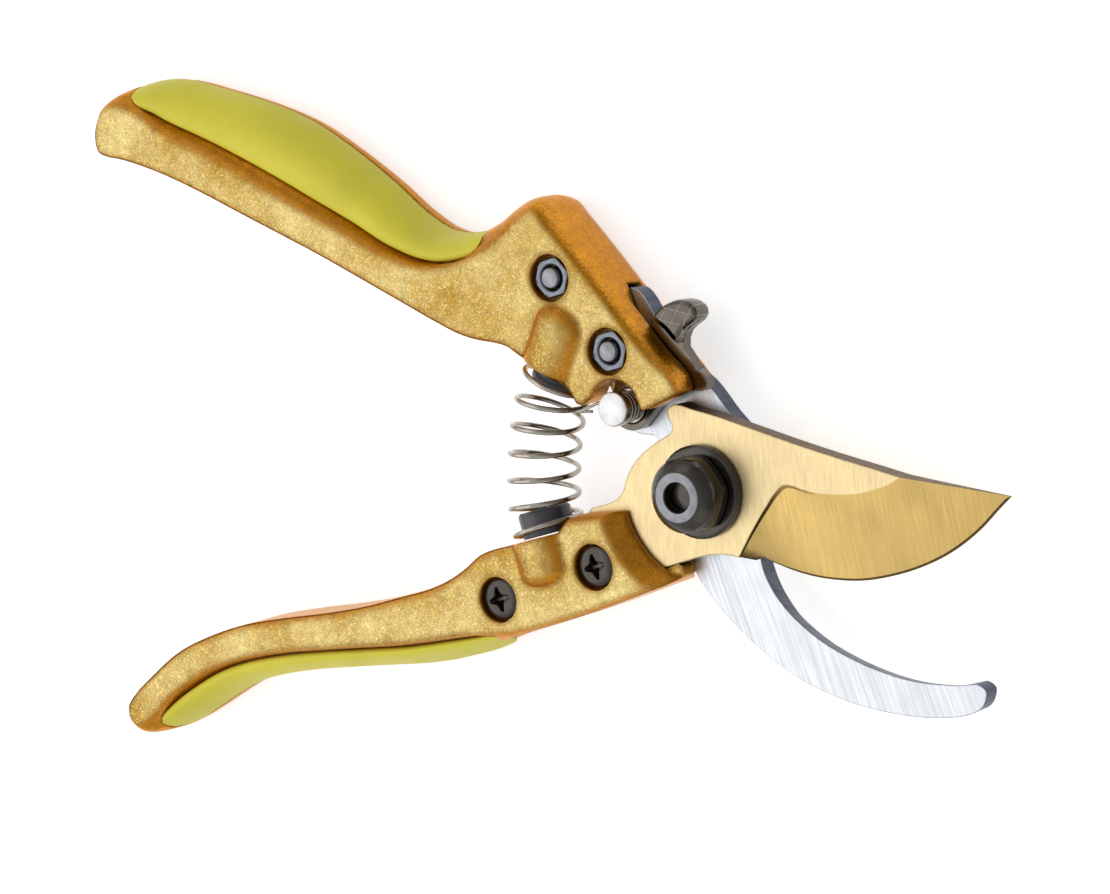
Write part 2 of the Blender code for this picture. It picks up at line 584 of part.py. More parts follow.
def lower_handle():
    """Make the handle that carries the cutting blade."""
    item = handle_body("lower_handle", LOWER_HANDLE, 3.4)
    boss(item, LOWER_BOSS, LOWER_SWELL, 9.0)
    tail = [(-12.0, -2.0), (-19.0, -1.0)] + CUTTING_SPINE[-3:] + CUTTING_TAIL + CUTTING_HEEL[:1]
    room = grown(tail + [(-2.0, -12.0), (-4.0, -6.0)], GAP)
    boolean(item, plate("tail_room", room, CUT_BACK - GAP, CUT_FRONT + GAP))
    swing = turned("pivot_room", (0, 0), [(16.8, CUT_FRONT), (16.9, CUT_FRONT + 1.0),
                                          (18.2, 6.0), (20.7, 8.0), (22.2, 9.5)], sides=64)
    boolean(item, swing)
    boolean(item, turned("hook_room", (0, 0), [
        (21.6, BACK - 1), (19.2, -4.2), (16.6, 0.1)], sides=64))
    boolean(item, turned("blade_room", (0, 0), [(14.4, BACK - 1), (14.4, FRONT)], sides=64))
    grip = grip_shape("lower_grip_recess", LOWER_HANDLE, LOWER_GRIP_ENDS, 0.5)
    boolean(item, grip)
    fastener_holes(item, LOWER_SCREWS.values())
    return item


# ---------------------------------------------------------------- blades

def cutting_blade():
    """Make the ground blade: a flat plate whose bevel runs down to the cutting edge."""
    count = 30
    fall = (CUT_THICKNESS - EDGE_THICKNESS) / len(SPINE_END)
    line = resampled([(*p, CUT_FRONT) for p in BEVEL_LINE]
                     + [(*p, CUT_FRONT - fall * (k + 1)) for k, p in enumerate(SPINE_END)], count)
    edge = resampled([(*p, CUT_BACK + EDGE_THICKNESS) for p in EDGE_ROOT + CUTTING_EDGE], count)
    flat = [(*p, CUT_FRONT) for p in curve_through(CUTTING_SPINE, 4.0)]
    flat += [(*p, CUT_FRONT) for p in CUTTING_TAIL + CUTTING_HEEL]
    border_end = nearest(line, BEVEL_LINE[-1])
    points = line + edge[:-1] + flat
    top = list(range(border_end, -1, -1))
    rest = list(range(count + count - 1, len(points)))
    faces = [top[::-1] + rest]
    for k in range(count - 1):
        a, b = k, k + 1
        c, d = count + k + 1, count + k
        if k == count - 2:
            faces.append([a, b, d])
        else:
            faces.append([a, b, c, d])
    rim = [count + k for k in range(count - 1)] + list(range(count - 1, border_end - 1, -1)) + rest
    low = [(*points[i][:2], CUT_BACK) for i in rim]
    start = len(points)
    points += low
    size = len(rim)
    for k in range(size):
        j = (k + 1) % size
        if (rim[k], rim[j]) == (rest[-1], rim[0]):
            faces.append([rim[k], 0, rim[j], start + j, start + k])
        else:
            faces.append([rim[k], rim[j], start + j, start + k])
    faces.append([start + k for k in range(size)][::-1])
    item = add_object("cutting_blade", points, faces, GOLD)
    recess(item, (0, 0), PIVOT_HOLE, CUT_BACK - 1, CUT_FRONT + 1)
    for centre in LOWER_SCREWS.values():
        recess(item, centre, FASTENER_HOLE, CUT_BACK - 1, CUT_FRONT + 1)
    return item


def resampled(points, count):
    """Return evenly spaced points on a smooth curve through the given ones."""
    fine = np.array(curve_through(points, 0.5))
    along = np.concatenate([[0.0], np.cumsum(np.linalg.norm(np.diff(fine, axis=0), axis=1))])
    places = np.linspace(0.0, along[-1], count)
    columns = [np.interp(places, along, fine[:, k]) for k in range(3)]
    return [tuple(float(c[i]) for c in columns) for i in range(count)]


def nearest(points, place):
    """Return the index of the point nearest to a plan place."""
    return min(range(len(points)), key=lambda i: math.dist(points[i][:2], place))


def hook_blade():
    """Make the fixed hook with its tang."""
    outline = [tuple(p) for p in curve_through(HOOK_OUTLINE, 3.0, closed=True)]
    normals = outward_normals(outline)
    loops = []
    for height, plain, edge in ((HOOK_BACK, 0.15, 0.9), (HOOK_BACK + 0.2, 0.0, 0.8),
                                (HOOK_FRONT - 0.15, 0.0, 0.0), (HOOK_FRONT, 0.15, 0.15)):
        loop = []
        for p, n in zip(outline, normals):
            inset = edge if on_hook_edge(p, n) else plain
            loop.append((p[0] - n[0] * inset, p[1] - n[1] * inset, height))
        loops.append(loop)
    item = rings(loops, "hook_blade", STEEL)
    recess(item, (0, 0), PIVOT_HOLE, HOOK_BACK - 1, HOOK_FRONT + 1)
    recess(item, LOCK_PIN, LOCK_PIN_RADIUS + GAP, HOOK_BACK - 1, HOOK_FRONT + 1)
    for centre in UPPER_BOLTS.values():
        recess(item, centre, FASTENER_HOLE, HOOK_BACK - 1, HOOK_FRONT + 1)
    return item


def on_hook_edge(point, normal):
    """Tell whether an outline point is on the hook's relieved inner edge."""
    return 11.0 < point[0] < 53.5 and point[1] < -13.0 and normal[1] > 0.0


# ---------------------------------------------------------------- lock

def lock_lever():
    """Make the lock lever, unlocked, with its wide thumb pad."""
    nose = [turned_point(p, LOCK_PIN, LOCK_THROW) for p in LEVER_NOSE]
    eye = circle(LOCK_PIN, 4.6, 9, 175.0, 125.0)
    outline = nose + LEVER_TOP + eye
    item = plate("lock_lever", outline, LEVER_BACK, LEVER_FRONT, CHROME)
    pad = plate("thumb_pad", [tuple(p) for p in curve_through(PAD_OUTLINE, 1.2, closed=True)],
                PAD_BACK, PAD_FRONT)
    boolean(item, pad, "UNION")
    recess(item, LOCK_PIN, LOCK_PIN_RADIUS + GAP, LEVER_BACK - 1, LEVER_FRONT + 1)
    return item


def lock_pin():
    """Make the pin that the lock lever turns on, with a waist for its spring."""
    turned("lock_pin", LOCK_PIN, [
        (LOCK_PIN_RADIUS, HOOK_BACK + 0.1), (LOCK_PIN_RADIUS, LEVER_FRONT + 0.2),
        (PIN_WAIST, LEVER_FRONT + 0.3), (PIN_WAIST, 6.7), (LOCK_PIN_RADIUS, 6.8),
        (LOCK_PIN_RADIUS, LOCK_PIN_TOP - 0.3), (LOCK_PIN_RADIUS - 0.3, LOCK_PIN_TOP)],
        CHROME, sides=28)


def lock_spring():
    """Wind the lock's torsion spring round its pin, with its leg round the handle's tip."""
    radius, diameter, turns, per_turn = 2.75, 0.55, 3.0, 10
    bottom, top = 3.2, 6.2
    coil = []
    steps = round(turns * per_turn)
    for k in range(steps + 1):
        angle = math.radians(115.0 - 360.0 * turns * (1 - k / steps))
        height = bottom + (top - bottom) * k / steps
        coil.append((LOCK_PIN[0] + radius * math.cos(angle),
                     LOCK_PIN[1] + radius * math.sin(angle), height))
    leg = [(-20.9, 14.3, 6.3), (-24.6, 12.5, 6.3), (-25.7, 12.1, 6.2), (-26.15, 12.0, 5.9),
           (-26.3, 12.0, 5.5), (-26.15, 12.05, 5.1), (-25.7, 12.1, 4.8), (-24.4, 12.2, 4.7),
           (-23.4, 12.3, 4.7)]
    path = coil + leg
    report_least_gap("lock_spring", path, diameter)
    wire("lock_spring", path, diameter, CHROME)


# ---------------------------------------------------------------- springs and seats

def seat(name, place, length):
    """Make a plastic plug that holds one end of the main spring."""
    centre, normal = place
    return rod(name, centre, normal, [
        (SEAT_RADIUS, GAP), (SEAT_RADIUS, length - 0.5), (SEAT_RADIUS - 0.5, length)], PLASTIC)


def main_spring():
    """Wind the opening spring along its slightly bowed axis."""
    ends = [(-31.9, 18.0), (-32.95, 15.8), (-34.1, 12.0), (-35.0, 7.5), (-35.5, 2.5), (-35.6, -2.5),
            (-35.3, -7.0), (-34.75, -10.0), (-34.35, -11.2)]
    axis = np.array(resampled([(*p, SPRING_HEIGHT) for p in ends], 200))
    per_turn = 9
    steps = round(SPRING_TURNS * per_turn)
    share_of_end = 0.5 / SPRING_TURNS
    path = []
    for k in range(steps + 1):
        share = k / steps
        travel = spring_travel(share, share_of_end)
        place = axis[min(round(travel * 199), 199)]
        ahead = axis[min(round(travel * 199) + 4, 199)] - axis[max(round(travel * 199) - 4, 0)]
        ahead = ahead / np.linalg.norm(ahead)
        side = np.array([-ahead[1], ahead[0], 0.0])
        angle = 2 * math.pi * SPRING_TURNS * share + math.radians(SPRING_START)
        out = side * math.cos(angle) + np.array([0.0, 0.0, 1.0]) * math.sin(angle)
        path.append(tuple(place + out * SPRING_RADIUS))
    path = with_straight_ends(path, SPRING_WIRE)
    report_least_gap("main_spring", path, SPRING_WIRE)
    wire("main_spring", path, SPRING_WIRE, CHROME)


def spring_travel(share, end):
    """Return how far along its axis the spring is, with flatter turns at both ends."""
    total = 1 - 2 * end + 2 * end * END_PITCH
    if share < end:
        return share * END_PITCH / total
    if share > 1 - end:
        return 1 - (1 - share) * END_PITCH / total
    return (end * END_PITCH + share - end) / total


def with_straight_ends(path, length):
    """Run a wire straight on for a short length at both ends."""
    data = [np.array(p) for p in path]
    first = data[0] + (data[0] - data[1]) / np.linalg.norm(data[0] - data[1]) * length
    last = data[-1] + (data[-1] - data[-2]) / np.linalg.norm(data[-1] - data[-2]) * length
    return [tuple(first)] + path + [tuple(last)]


# ---------------------------------------------------------------- fasteners

def hexagon(centre, across_flats, start=0.0):
    """Return the corners of a hexagon."""
    return circle(centre, across_flats / math.sqrt(3), 6, start)


def upper_fastener(place, centre):
    """Make one bolt and its front nut."""
    head_top = BACK + BACK_RECESS_DEPTH - GAP
    turned(f"upper_bolt_{place}", centre, [
        (3.6, BACK + 0.3), (4.0, BACK + 0.7), (4.0, head_top), (FASTENER_SHANK, head_top),
        (FASTENER_SHANK, FRONT - 0.2), (FASTENER_SHANK - 0.3, FRONT + 0.1)], BLACK, sides=24)
    low = FRONT - RECESS_DEPTH + GAP
    high = FRONT - 0.7
    nut = plate(f"upper_nut_{place}", hexagon(centre, 7.0, 18.0), low, high, STEEL)
    recess(nut, centre, 2.4, low - 1, high + 1)
    return nut


def lower_fastener(place, centre):
    """Make one cross-head screw and its back nut."""
    low = FRONT - RECESS_DEPTH + GAP
    tip = BACK + 0.3
    screw = turned(f"lower_screw_{place}", centre, [
        (FASTENER_SHANK, tip), (FASTENER_SHANK, low), (3.95, low), (3.95, FRONT - 1.3),
        (3.3, FRONT - 0.75), (2.0, FRONT - 0.45), (0.6, FRONT - 0.35)], BLACK, sides=28)
    for turn in (20.0, 110.0):
        corners = [(2.25, 0.5), (-2.25, 0.5), (-2.25, -0.5), (2.25, -0.5)]
        slot = [turned_point((centre[0] + x, centre[1] + y), centre, turn) for x, y in corners]
        tool = plate(f"{screw.name}_slot_{turn:.0f}", slot, FRONT - 2.2, FRONT + 1)
        boolean(screw, tool)
    top = BACK + BACK_RECESS_DEPTH - GAP
    nut = plate(f"lower_nut_{place}", hexagon(centre, 7.0, 10.0), BACK + 0.2, top, BLACK)
    recess(nut, centre, FASTENER_SHANK + GAP, BACK - 1, top + 1)


def pivot():
    """Make the pivot's bolt, bush, washer and lock nut."""
    turned("pivot_bolt", (0, 0), [
        (HEAD_RADIUS - 0.6, BACK), (HEAD_RADIUS, BACK + 0.6), (HEAD_RADIUS, HOOK_BACK - GAP - 0.3),
        (HEAD_RADIUS - 0.3, HOOK_BACK - GAP), (BOLT_SHANK, HOOK_BACK - GAP), (BOLT_SHANK, 9.2),
        (BOLT_SHANK - 0.5, 9.6)], BLACK, sides=40)
    sleeve("pivot_bush", (0, 0), [
        (BUSH_INNER, HOOK_BACK + 0.1), (BUSH_OUTER, HOOK_BACK + 0.1),
        (BUSH_OUTER, CUT_FRONT - 0.05), (BUSH_INNER, CUT_FRONT - 0.05)], STEEL, sides=40)
    washer_low = CUT_FRONT + GAP
    sleeve("pivot_washer", (0, 0), [
        (BUSH_INNER, washer_low), (8.5, washer_low), (8.5, washer_low + 0.9),
        (8.0, washer_low + 1.3), (BUSH_INNER, washer_low + 1.5)], BLACK, sides=40)
    nut_low = washer_low + 1.8
    nut = sleeve("pivot_nut", (0, 0), [
        (BUSH_INNER, nut_low), (7.2, nut_low), (7.2, 8.4), (6.6, 10.0), (5.6, 11.3), (4.6, 11.9),
        (2.7, 11.9), (2.7, 10.2), (BUSH_INNER, 9.9)], BLACK, sides=40)
    hexagonal = plate("nut_flats", hexagon((0, 0), 12.6, 12.0), nut_low - 1, 13.0)
    boolean(nut, hexagonal, "INTERSECT")


def main():
    """Build the whole tool."""
    clear_scene()
    upper_handle()
    lower_handle()
    grip_shape("upper_grip", UPPER_HANDLE, UPPER_GRIP_ENDS, 0.0, RUBBER)
    grip_shape("lower_grip", LOWER_HANDLE, LOWER_GRIP_ENDS, 0.0, RUBBER, LOWER_GRIP_PROUD)
    cutting_blade()
    hook_blade()
    lock_lever()
    lock_pin()
    lock_spring()
    seat("upper_spring_seat", UPPER_BOSS, UPPER_SEAT_LENGTH)
    seat("lower_spring_seat", LOWER_BOSS, LOWER_SEAT_LENGTH)
    main_spring()
    for place, centre in UPPER_BOLTS.items():
        upper_fastener(place, centre)
    for place, centre in LOWER_SCREWS.items():
        lower_fastener(place, centre)
    pivot()


main()
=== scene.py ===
"""Bypass pruner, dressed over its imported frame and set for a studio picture.

Plan sizes are in millimetres about the main pivot, and heights are measured from
the plane in which the two blades meet. They turn to metres once, in `metres`.
"""
import logging
import math
from collections.abc import Sequence
from dataclasses import dataclass
from enum import Enum

import bpy
import bmesh
import numpy as np
from mathutils import Matrix, Vector


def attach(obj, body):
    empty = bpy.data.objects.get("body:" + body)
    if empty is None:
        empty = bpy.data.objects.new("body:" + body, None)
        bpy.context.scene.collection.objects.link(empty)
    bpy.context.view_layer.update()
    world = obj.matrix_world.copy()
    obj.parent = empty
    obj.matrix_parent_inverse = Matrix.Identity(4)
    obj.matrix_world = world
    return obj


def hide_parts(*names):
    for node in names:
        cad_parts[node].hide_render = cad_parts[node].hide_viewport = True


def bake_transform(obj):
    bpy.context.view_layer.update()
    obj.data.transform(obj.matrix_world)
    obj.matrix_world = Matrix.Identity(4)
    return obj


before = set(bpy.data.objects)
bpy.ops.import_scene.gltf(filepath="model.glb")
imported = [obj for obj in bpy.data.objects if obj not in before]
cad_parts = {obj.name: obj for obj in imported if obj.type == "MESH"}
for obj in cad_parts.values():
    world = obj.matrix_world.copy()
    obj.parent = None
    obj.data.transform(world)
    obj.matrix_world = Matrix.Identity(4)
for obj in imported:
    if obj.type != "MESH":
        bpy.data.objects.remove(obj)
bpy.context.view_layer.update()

LOG = logging.getLogger("pruner")
MM = 0.001
MEETING_PLANE = 7.5
# The faces of the handles, the cutting blade and the hook.
FRONT, BACK = 8.0, -7.5
CUT_FRONT, CUT_BACK = 3.75, 0.15
HOOK_FRONT, HOOK_BACK = -0.15, -4.0
GAP = 0.3
# How far a cutter runs out of what it cuts.
OUT = 1.0
PIVOT = (0.0, 0.0)
PIVOT_HOLE = 5.9
BOLT_HOLE = 2.2
LOCK_PIN = (-16.4, 13.8)
LOCK_PIN_RADIUS = 3.15
LOCK_THROW = 10.0
SPRING_HEIGHT = 3.0
UPPER_BOLTS = {"rear": (-30.8, 36.5), "front": (-17.9, 24.1)}
LOWER_SCREWS = {"rear": (-42.7, -24.8), "front": (-20.8, -15.8)}

Plan = tuple[float, float]
Point = tuple[float, float, float]
Line = Sequence[Sequence[float]]
Item = bpy.types.Object
Socket = bpy.types.NodeSocket


class Body(Enum):
    """The frame's moving bodies."""

    HOOK_SIDE = "hook_side"
    BLADE_SIDE = "blade_side"
    LOCK = "lock"


class Slot(Enum):
    """The record's material slots, which each new piece names but is not given."""

    PAINT = "gold_paint"
    RUBBER = "lime_rubber"
    COATING = "gold_coating"
    STEEL = "ground_steel"
    BRIGHT = "bright_steel"
    OXIDE = "black_oxide"


# ------------------------------------------------------------------ finishes

def linear(code: str) -> tuple[float, float, float, float]:
    """Turn an sRGB hex colour into linear RGBA.

    Args:
        code: six hex digits after a hash.

    Returns:
        The linear colour with full alpha.
    """
    parts = [int(code[k:k + 2], 16) / 255 for k in (1, 3, 5)]
    curve = [p / 12.92 if p <= 0.04045 else ((p + 0.055) / 1.055) ** 2.4 for p in parts]
    return (*curve, 1.0)


class Sheet:
    """A node tree that is being drawn, with the patterns that the finishes share."""

    def __init__(self, tree: bpy.types.NodeTree) -> None:
        """Start with the tree empty."""
        self.tree = tree
        tree.nodes.clear()

    def add(self, kind: str, inputs: dict | None = None, **settings: object) -> bpy.types.Node:
        """Add a node with its settings, values and links.

        Args:
            kind: the node's type name.
            inputs: a value or an output socket for each input, by name or number.
            **settings: the node's own attributes.

        Returns:
            The new node.
        """
        node = self.tree.nodes.new(kind)
        for name, value in settings.items():
            setattr(node, name, value)
        for key, value in (inputs or {}).items():
            if isinstance(value, Socket):
                self.tree.links.new(value, node.inputs[key])
            else:
                node.inputs[key].default_value = value
        return node

    def place(self, size: float | Point, turn: float = 0.0) -> Socket:
        """Count Object coordinates in features of a real size.

        Args:
            size: a feature's size, or its length, width and height, in millimetres.
            turn: the direction of its length in the plan, in degrees.

        Returns:
            The scaled coordinates.
        """
        sides = (size,) * 3 if isinstance(size, float) else size
        spot = self.add("ShaderNodeTexCoord")
        return self.add("ShaderNodeMapping", {
            "Vector": spot.outputs["Object"], "Rotation": (0.0, 0.0, math.radians(turn)),
            "Scale": tuple(s * MM for s in sides)}, vector_type="TEXTURE").outputs[0]

    def noise(self, size: float | Point, low: float, high: float, turn: float = 0.0,
              detail: float = 2.0) -> Socket:
        """Spread noise of a real size between two values.

        Args:
            size: a feature's size, or its length, width and height, in millimetres.
            low: the value of its darkest part.
            high: the value of its lightest part.
            turn: the direction of its length in the plan, in degrees.
            detail: how many finer layers it carries.

        Returns:
            The noise as a number.
        """
        raw = self.add("ShaderNodeTexNoise", {
            "Vector": self.place(size, turn), "Scale": 1.0, "Detail": detail})
        return self.add("ShaderNodeMapRange", {
            "Value": raw.outputs[0], "From Min": 0.3, "From Max": 0.7,
            "To Min": low, "To Max": high}).outputs[0]

    def flatness(self, normal: Socket, low: float, high: float) -> Socket:
        """Tell flat faces (1) from a piece's edges and sides (0).

        Args:
            normal: the normal to judge by.
            low: the normal's height at and below which a face is a side.
            high: the height at and above which it is a flat.

        Returns:
            The share, smooth in between.
        """
        parts = self.add("ShaderNodeSeparateXYZ", {"Vector": normal})
        size = self.add("ShaderNodeMath", {0: parts.outputs["Z"]}, operation="ABSOLUTE")
        return self.add("ShaderNodeMapRange", {
            "Value": size.outputs[0], "From Min": low, "From Max": high},
            interpolation_type="SMOOTHSTEP").outputs[0]

    def shaded(self, colour: object, amount: Socket) -> Socket:
        """Multiply a colour by a number that varies over the surface.

        Args:
            colour: a colour or an output socket.
            amount: the number.

        Returns:
            The shaded colour.
        """
        grey = self.add("ShaderNodeCombineXYZ", {0: amount, 1: amount, 2: amount})
        return self.add("ShaderNodeMix", {0: 1.0, 6: colour, 7: grey.outputs[0]},
                        data_type="RGBA", blend_type="MULTIPLY").outputs[2]


@dataclass(frozen=True)
class Finish:
    """What every finish shares: a name, a colour, a gloss and the radius of broken edges."""

    name: str
    colour: str
    roughness: float
    edge_radius: float = 0.3

    def material(self) -> bpy.types.Material:
        """Build the material once and give it again on each later call.

        Returns:
            The finish's material.
        """
        existing = bpy.data.materials.get(self.name)
        if existing:
            return existing
        made = bpy.data.materials.new(self.name)
        made.use_nodes = True
        sheet = Sheet(made.node_tree)
        shader = sheet.add("ShaderNodeBsdfPrincipled", {
            "Roughness": self.roughness, **self.inputs(sheet)})
        sheet.add("ShaderNodeOutputMaterial", {"Surface": shader.outputs[0]})
        return made

    def inputs(self, sheet: Sheet) -> dict[str, object]:
        """Return this finish's values and sockets for the shader's inputs."""
        raise NotImplementedError

    def broken_edges(self, sheet: Sheet) -> Socket:
        """Return the normal with small machining radii along sharp edges."""
        return sheet.add("ShaderNodeBevel", {"Radius": self.edge_radius * MM},
                         samples=4).outputs[0]


@dataclass(frozen=True)
class FlakePaint(Finish):
    """Baked metal-flake enamel on die-cast aluminium.

    Pale flakes lie flat on the flats, and the amber base shows on the rounded edges and sides,
    chosen by the faces' direction: partly the paint's own base where the flakes stand on edge,
    partly painted shade and reflection. A few random flakes on the flats are painted pale as
    glints. A clear coat lies over both.
    """

    # The amber of the edges and sides: partly the paint's own base, partly painted shade and
    # reflection.
    base: str = "#C98410"
    thin: str = "#A8801E"
    # The colour of the painted glints on random flakes.
    glint: str = "#F0E2AC"
    lacquer: str = "#FFD890"
    # The flakes' size in millimetres, drawn coarser than real ones so that they show.
    flake: float = 0.24
    tilt: float = 0.26
    dull: float = 0.74
    lively: float = 1.2
    # How strongly the painted glints show.
    sparkle: float = 0.55
    # The coat's faint waves, in millimetres across and high.
    peel_width: float = 1.1
    peel_height: float = 0.08
    metallic: float = 0.9
    coat: float = 0.35
    coat_roughness: float = 0.05

    def inputs(self, sheet: Sheet) -> dict[str, object]:
        """Lay the flakes over the amber base, under the clear coat.

        Args:
            sheet: the material's tree.

        Returns:
            The shader's inputs.
        """
        cells = sheet.add("ShaderNodeTexVoronoi", {
            "Vector": sheet.place(self.flake), "Scale": 1.0})
        lean = sheet.add("ShaderNodeVectorMath", {
            0: cells.outputs["Color"], 1: (0.5, 0.5, 0.5)}, operation="SUBTRACT")
        lean = sheet.add("ShaderNodeVectorMath", {
            0: lean.outputs[0], "Scale": self.tilt}, operation="SCALE")
        smooth = self.broken_edges(sheet)
        peel = sheet.add("ShaderNodeBump", {
            "Strength": 0.35, "Distance": self.peel_height * MM, "Normal": smooth,
            "Height": sheet.noise(self.peel_width, 0.0, 1.0)}).outputs[0]
        leaning = sheet.add("ShaderNodeVectorMath", {0: peel, 1: lean.outputs[0]},
                            operation="ADD")
        flake_normal = sheet.add("ShaderNodeVectorMath", {0: leaning.outputs[0]},
                                 operation="NORMALIZE")
        flat = sheet.flatness(smooth, 0.8, 0.998)
        spark = sheet.add("ShaderNodeSeparateColor", {0: cells.outputs["Color"]}).outputs
        glint = sheet.add("ShaderNodeMapRange", {
            "Value": spark[0], "To Min": self.dull, "To Max": self.lively})
        # Random bright flakes on the flats are painted in the glint colour, as glints of light.
        bright = sheet.add("ShaderNodeMapRange", {
            "Value": spark[1], "From Min": 0.8, "From Max": 0.97, "To Max": self.sparkle})
        shown = sheet.add("ShaderNodeMath", {0: bright.outputs[0], 1: flat},
                          operation="MULTIPLY")
        dense = sheet.noise(12.0, 0.0, 1.0, detail=4.0)
        tone = sheet.add("ShaderNodeMix", {0: dense, 6: linear(self.thin), 7: linear(self.colour)},
                         data_type="RGBA")
        # Faces that turn from the front take the amber base, partly the paint's own colour and
        # partly painted shade and reflection.
        tone = sheet.add("ShaderNodeMix", {0: flat, 6: linear(self.base), 7: tone.outputs[2]},
                         data_type="RGBA")
        tone = sheet.add("ShaderNodeMix", {
            0: shown.outputs[0], 6: sheet.shaded(tone.outputs[2], glint.outputs[0]),
            7: linear(self.glint)}, data_type="RGBA")
        return {"Base Color": sheet.shaded(tone.outputs[2], sheet.noise(2.2, 0.86, 1.1)),
                "Normal": flake_normal.outputs[0], "Metallic": self.metallic,
                "Specular Tint": linear(self.lacquer), "Coat Normal": peel,
                "Coat Weight": self.coat, "Coat Roughness": self.coat_roughness}


@dataclass(frozen=True)
class SoftInsert(Finish):
    """Overmoulded thermoplastic rubber: matte and finely grained, dulled in soft patches."""

    grain: float = 0.25
    grain_height: float = 0.03
    patch: float = 14.0
    wear: float = 5.0
    sheen: float = 0.03

    def inputs(self, sheet: Sheet) -> dict[str, object]:
        """Grain the rubber and let handling dull it.

        Args:
            sheet: the material's tree.

        Returns:
            The shader's inputs.
        """
        bump = sheet.add("ShaderNodeBump", {
            "Strength": 0.3, "Distance": self.grain_height * MM,
            "Height": sheet.noise(self.grain, 0.0, 1.0)})
        cloud = sheet.noise(self.patch, 0.94, 1.05)
        return {"Base Color": sheet.shaded(linear(self.colour), cloud),
                "Roughness": sheet.noise(self.wear, self.roughness - 0.05,
                                         self.roughness + 0.07),
                "Normal": bump.outputs[0], "Sheen Weight": self.sheen}


@dataclass(frozen=True)
class BrushedMetal(Finish):
    """Belt-ground metal: fine streaks one way, side faces painted darker as shade, faint
    cloudiness.

    The streaks are drawn a little coarser than the belt's grit, so that they show.
    """

    # The side faces' colour, a painted shade.
    side: str = "#8A8F98"
    turn: float = 0.0
    # A streak's length and width in millimetres, how much it darkens, and its relief.
    streak: Plan = (9.0, 0.22)
    depth: float = 0.16
    relief: float = 0.02
    cloud: Point = (7.0, 5.0, 7.0)

    def inputs(self, sheet: Sheet) -> dict[str, object]:
        """Draw the grinding lines in colour, gloss and relief, and paint the side faces darker as
        shade.

        Args:
            sheet: the material's tree.

        Returns:
            The shader's inputs.
        """
        lines = sheet.noise((*self.streak, self.streak[0]), 0.0, 1.0, self.turn, 3.0)
        broken = self.broken_edges(sheet)
        # Faces that turn from the front take the side colour, painted as shade.
        tone = sheet.add("ShaderNodeMix", {
            0: sheet.flatness(broken, 0.5, 0.97), 6: linear(self.side), 7: linear(self.colour)},
            data_type="RGBA")
        ruled = sheet.add("ShaderNodeMapRange", {
            "Value": lines, "To Min": 1.0 - self.depth, "To Max": 1.0 + self.depth * 0.4})
        gloss = sheet.add("ShaderNodeMapRange", {
            "Value": lines, "To Min": self.roughness + 0.08, "To Max": self.roughness - 0.06})
        bump = sheet.add("ShaderNodeBump", {
            "Strength": 0.25, "Distance": self.relief * MM, "Height": lines, "Normal": broken})
        cloud = sheet.noise(self.cloud, 0.94, 1.04, self.turn)
        return {"Base Color": sheet.shaded(
                    sheet.shaded(tone.outputs[2], ruled.outputs[0]), cloud),
                "Roughness": gloss.outputs[0], "Normal": bump.outputs[0], "Metallic": 1.0}


@dataclass(frozen=True)
class SmoothMetal(Finish):
    """Drawn, plated or blackened steel: even colour, rubbed gloss, faint handling marks."""

    metallic: float = 1.0
    # How strongly handling marks show; the knurl's pitch in millimetres; and the pale colour
    # painted on its crests as a highlight.
    mark: float = 0.1
    knurl: float = 0.0
    crest_and_highlight: str = "#D8D2C8"
    mark_size: float = 2.2
    rub_size: float = 1.3
    knurl_height: float = 0.08

    def inputs(self, sheet: Sheet) -> dict[str, object]:
        """Vary the gloss, and raise crossed lines where the piece is knurled, with their crests
        painted pale as a highlight.

        Args:
            sheet: the material's tree.

        Returns:
            The shader's inputs.
        """
        tone = sheet.shaded(linear(self.colour), sheet.noise(
            self.mark_size, 1.0 - self.mark, 1.0 + self.mark))
        normal = self.broken_edges(sheet)
        if self.knurl:
            line = [self.knurl_lines(sheet, turn) for turn in (62.0, -8.0)]
            crest_and_highlight = sheet.add("ShaderNodeMath", dict(enumerate(line)),
                              operation="MAXIMUM").outputs[0]
            normal = sheet.add("ShaderNodeBump", {
                "Strength": 0.5, "Distance": self.knurl_height * MM, "Height": crest_and_highlight,
                "Normal": normal}).outputs[0]
            # The crests are painted pale, as a highlight.
            tone = sheet.add("ShaderNodeMix", {0: crest_and_highlight, 6: tone, 7: linear(self.crest_and_highlight)},
                             data_type="RGBA").outputs[2]
        return {"Base Color": tone, "Normal": normal, "Metallic": self.metallic,
                "Roughness": sheet.noise(self.rub_size, self.roughness * 0.75,
                                         self.roughness * 1.35)}

    def knurl_lines(self, sheet: Sheet, turn: float) -> Socket:
        """Draw one set of thin parallel lines.

        Args:
            sheet: the material's tree.
            turn: their direction in the plan, in degrees.

        Returns:
            How much of a line's crest shows.
        """
        spot = sheet.add("ShaderNodeSeparateXYZ", {"Vector": sheet.place(self.knurl, turn)})
        saw = sheet.add("ShaderNodeMath", {0: spot.outputs[1], 1: 1.0}, operation="PINGPONG")
        return sheet.add("ShaderNodeMapRange", {
            "Value": saw.outputs[0], "From Min": 0.9, "From Max": 1.0}).outputs[0]


@dataclass(frozen=True)
class MouldedPlastic(Finish):
    """Injection-moulded nylon: matte black with a faint spark-eroded texture."""

    grain: float = 0.3
    grain_height: float = 0.04
    patch: float = 3.0

    def inputs(self, sheet: Sheet) -> dict[str, object]:
        """Texture the moulded face.

        Args:
            sheet: the material's tree.

        Returns:
            The shader's inputs.
        """
        bump = sheet.add("ShaderNodeBump", {
            "Strength": 0.3, "Distance": self.grain_height * MM,
            "Height": sheet.noise(self.grain, 0.0, 1.0), "Normal": self.broken_edges(sheet)})
        cloud = sheet.noise(self.patch, 0.8, 1.25)
        return {"Base Color": sheet.shaded(linear(self.colour), cloud),
                "Normal": bump.outputs[0]}


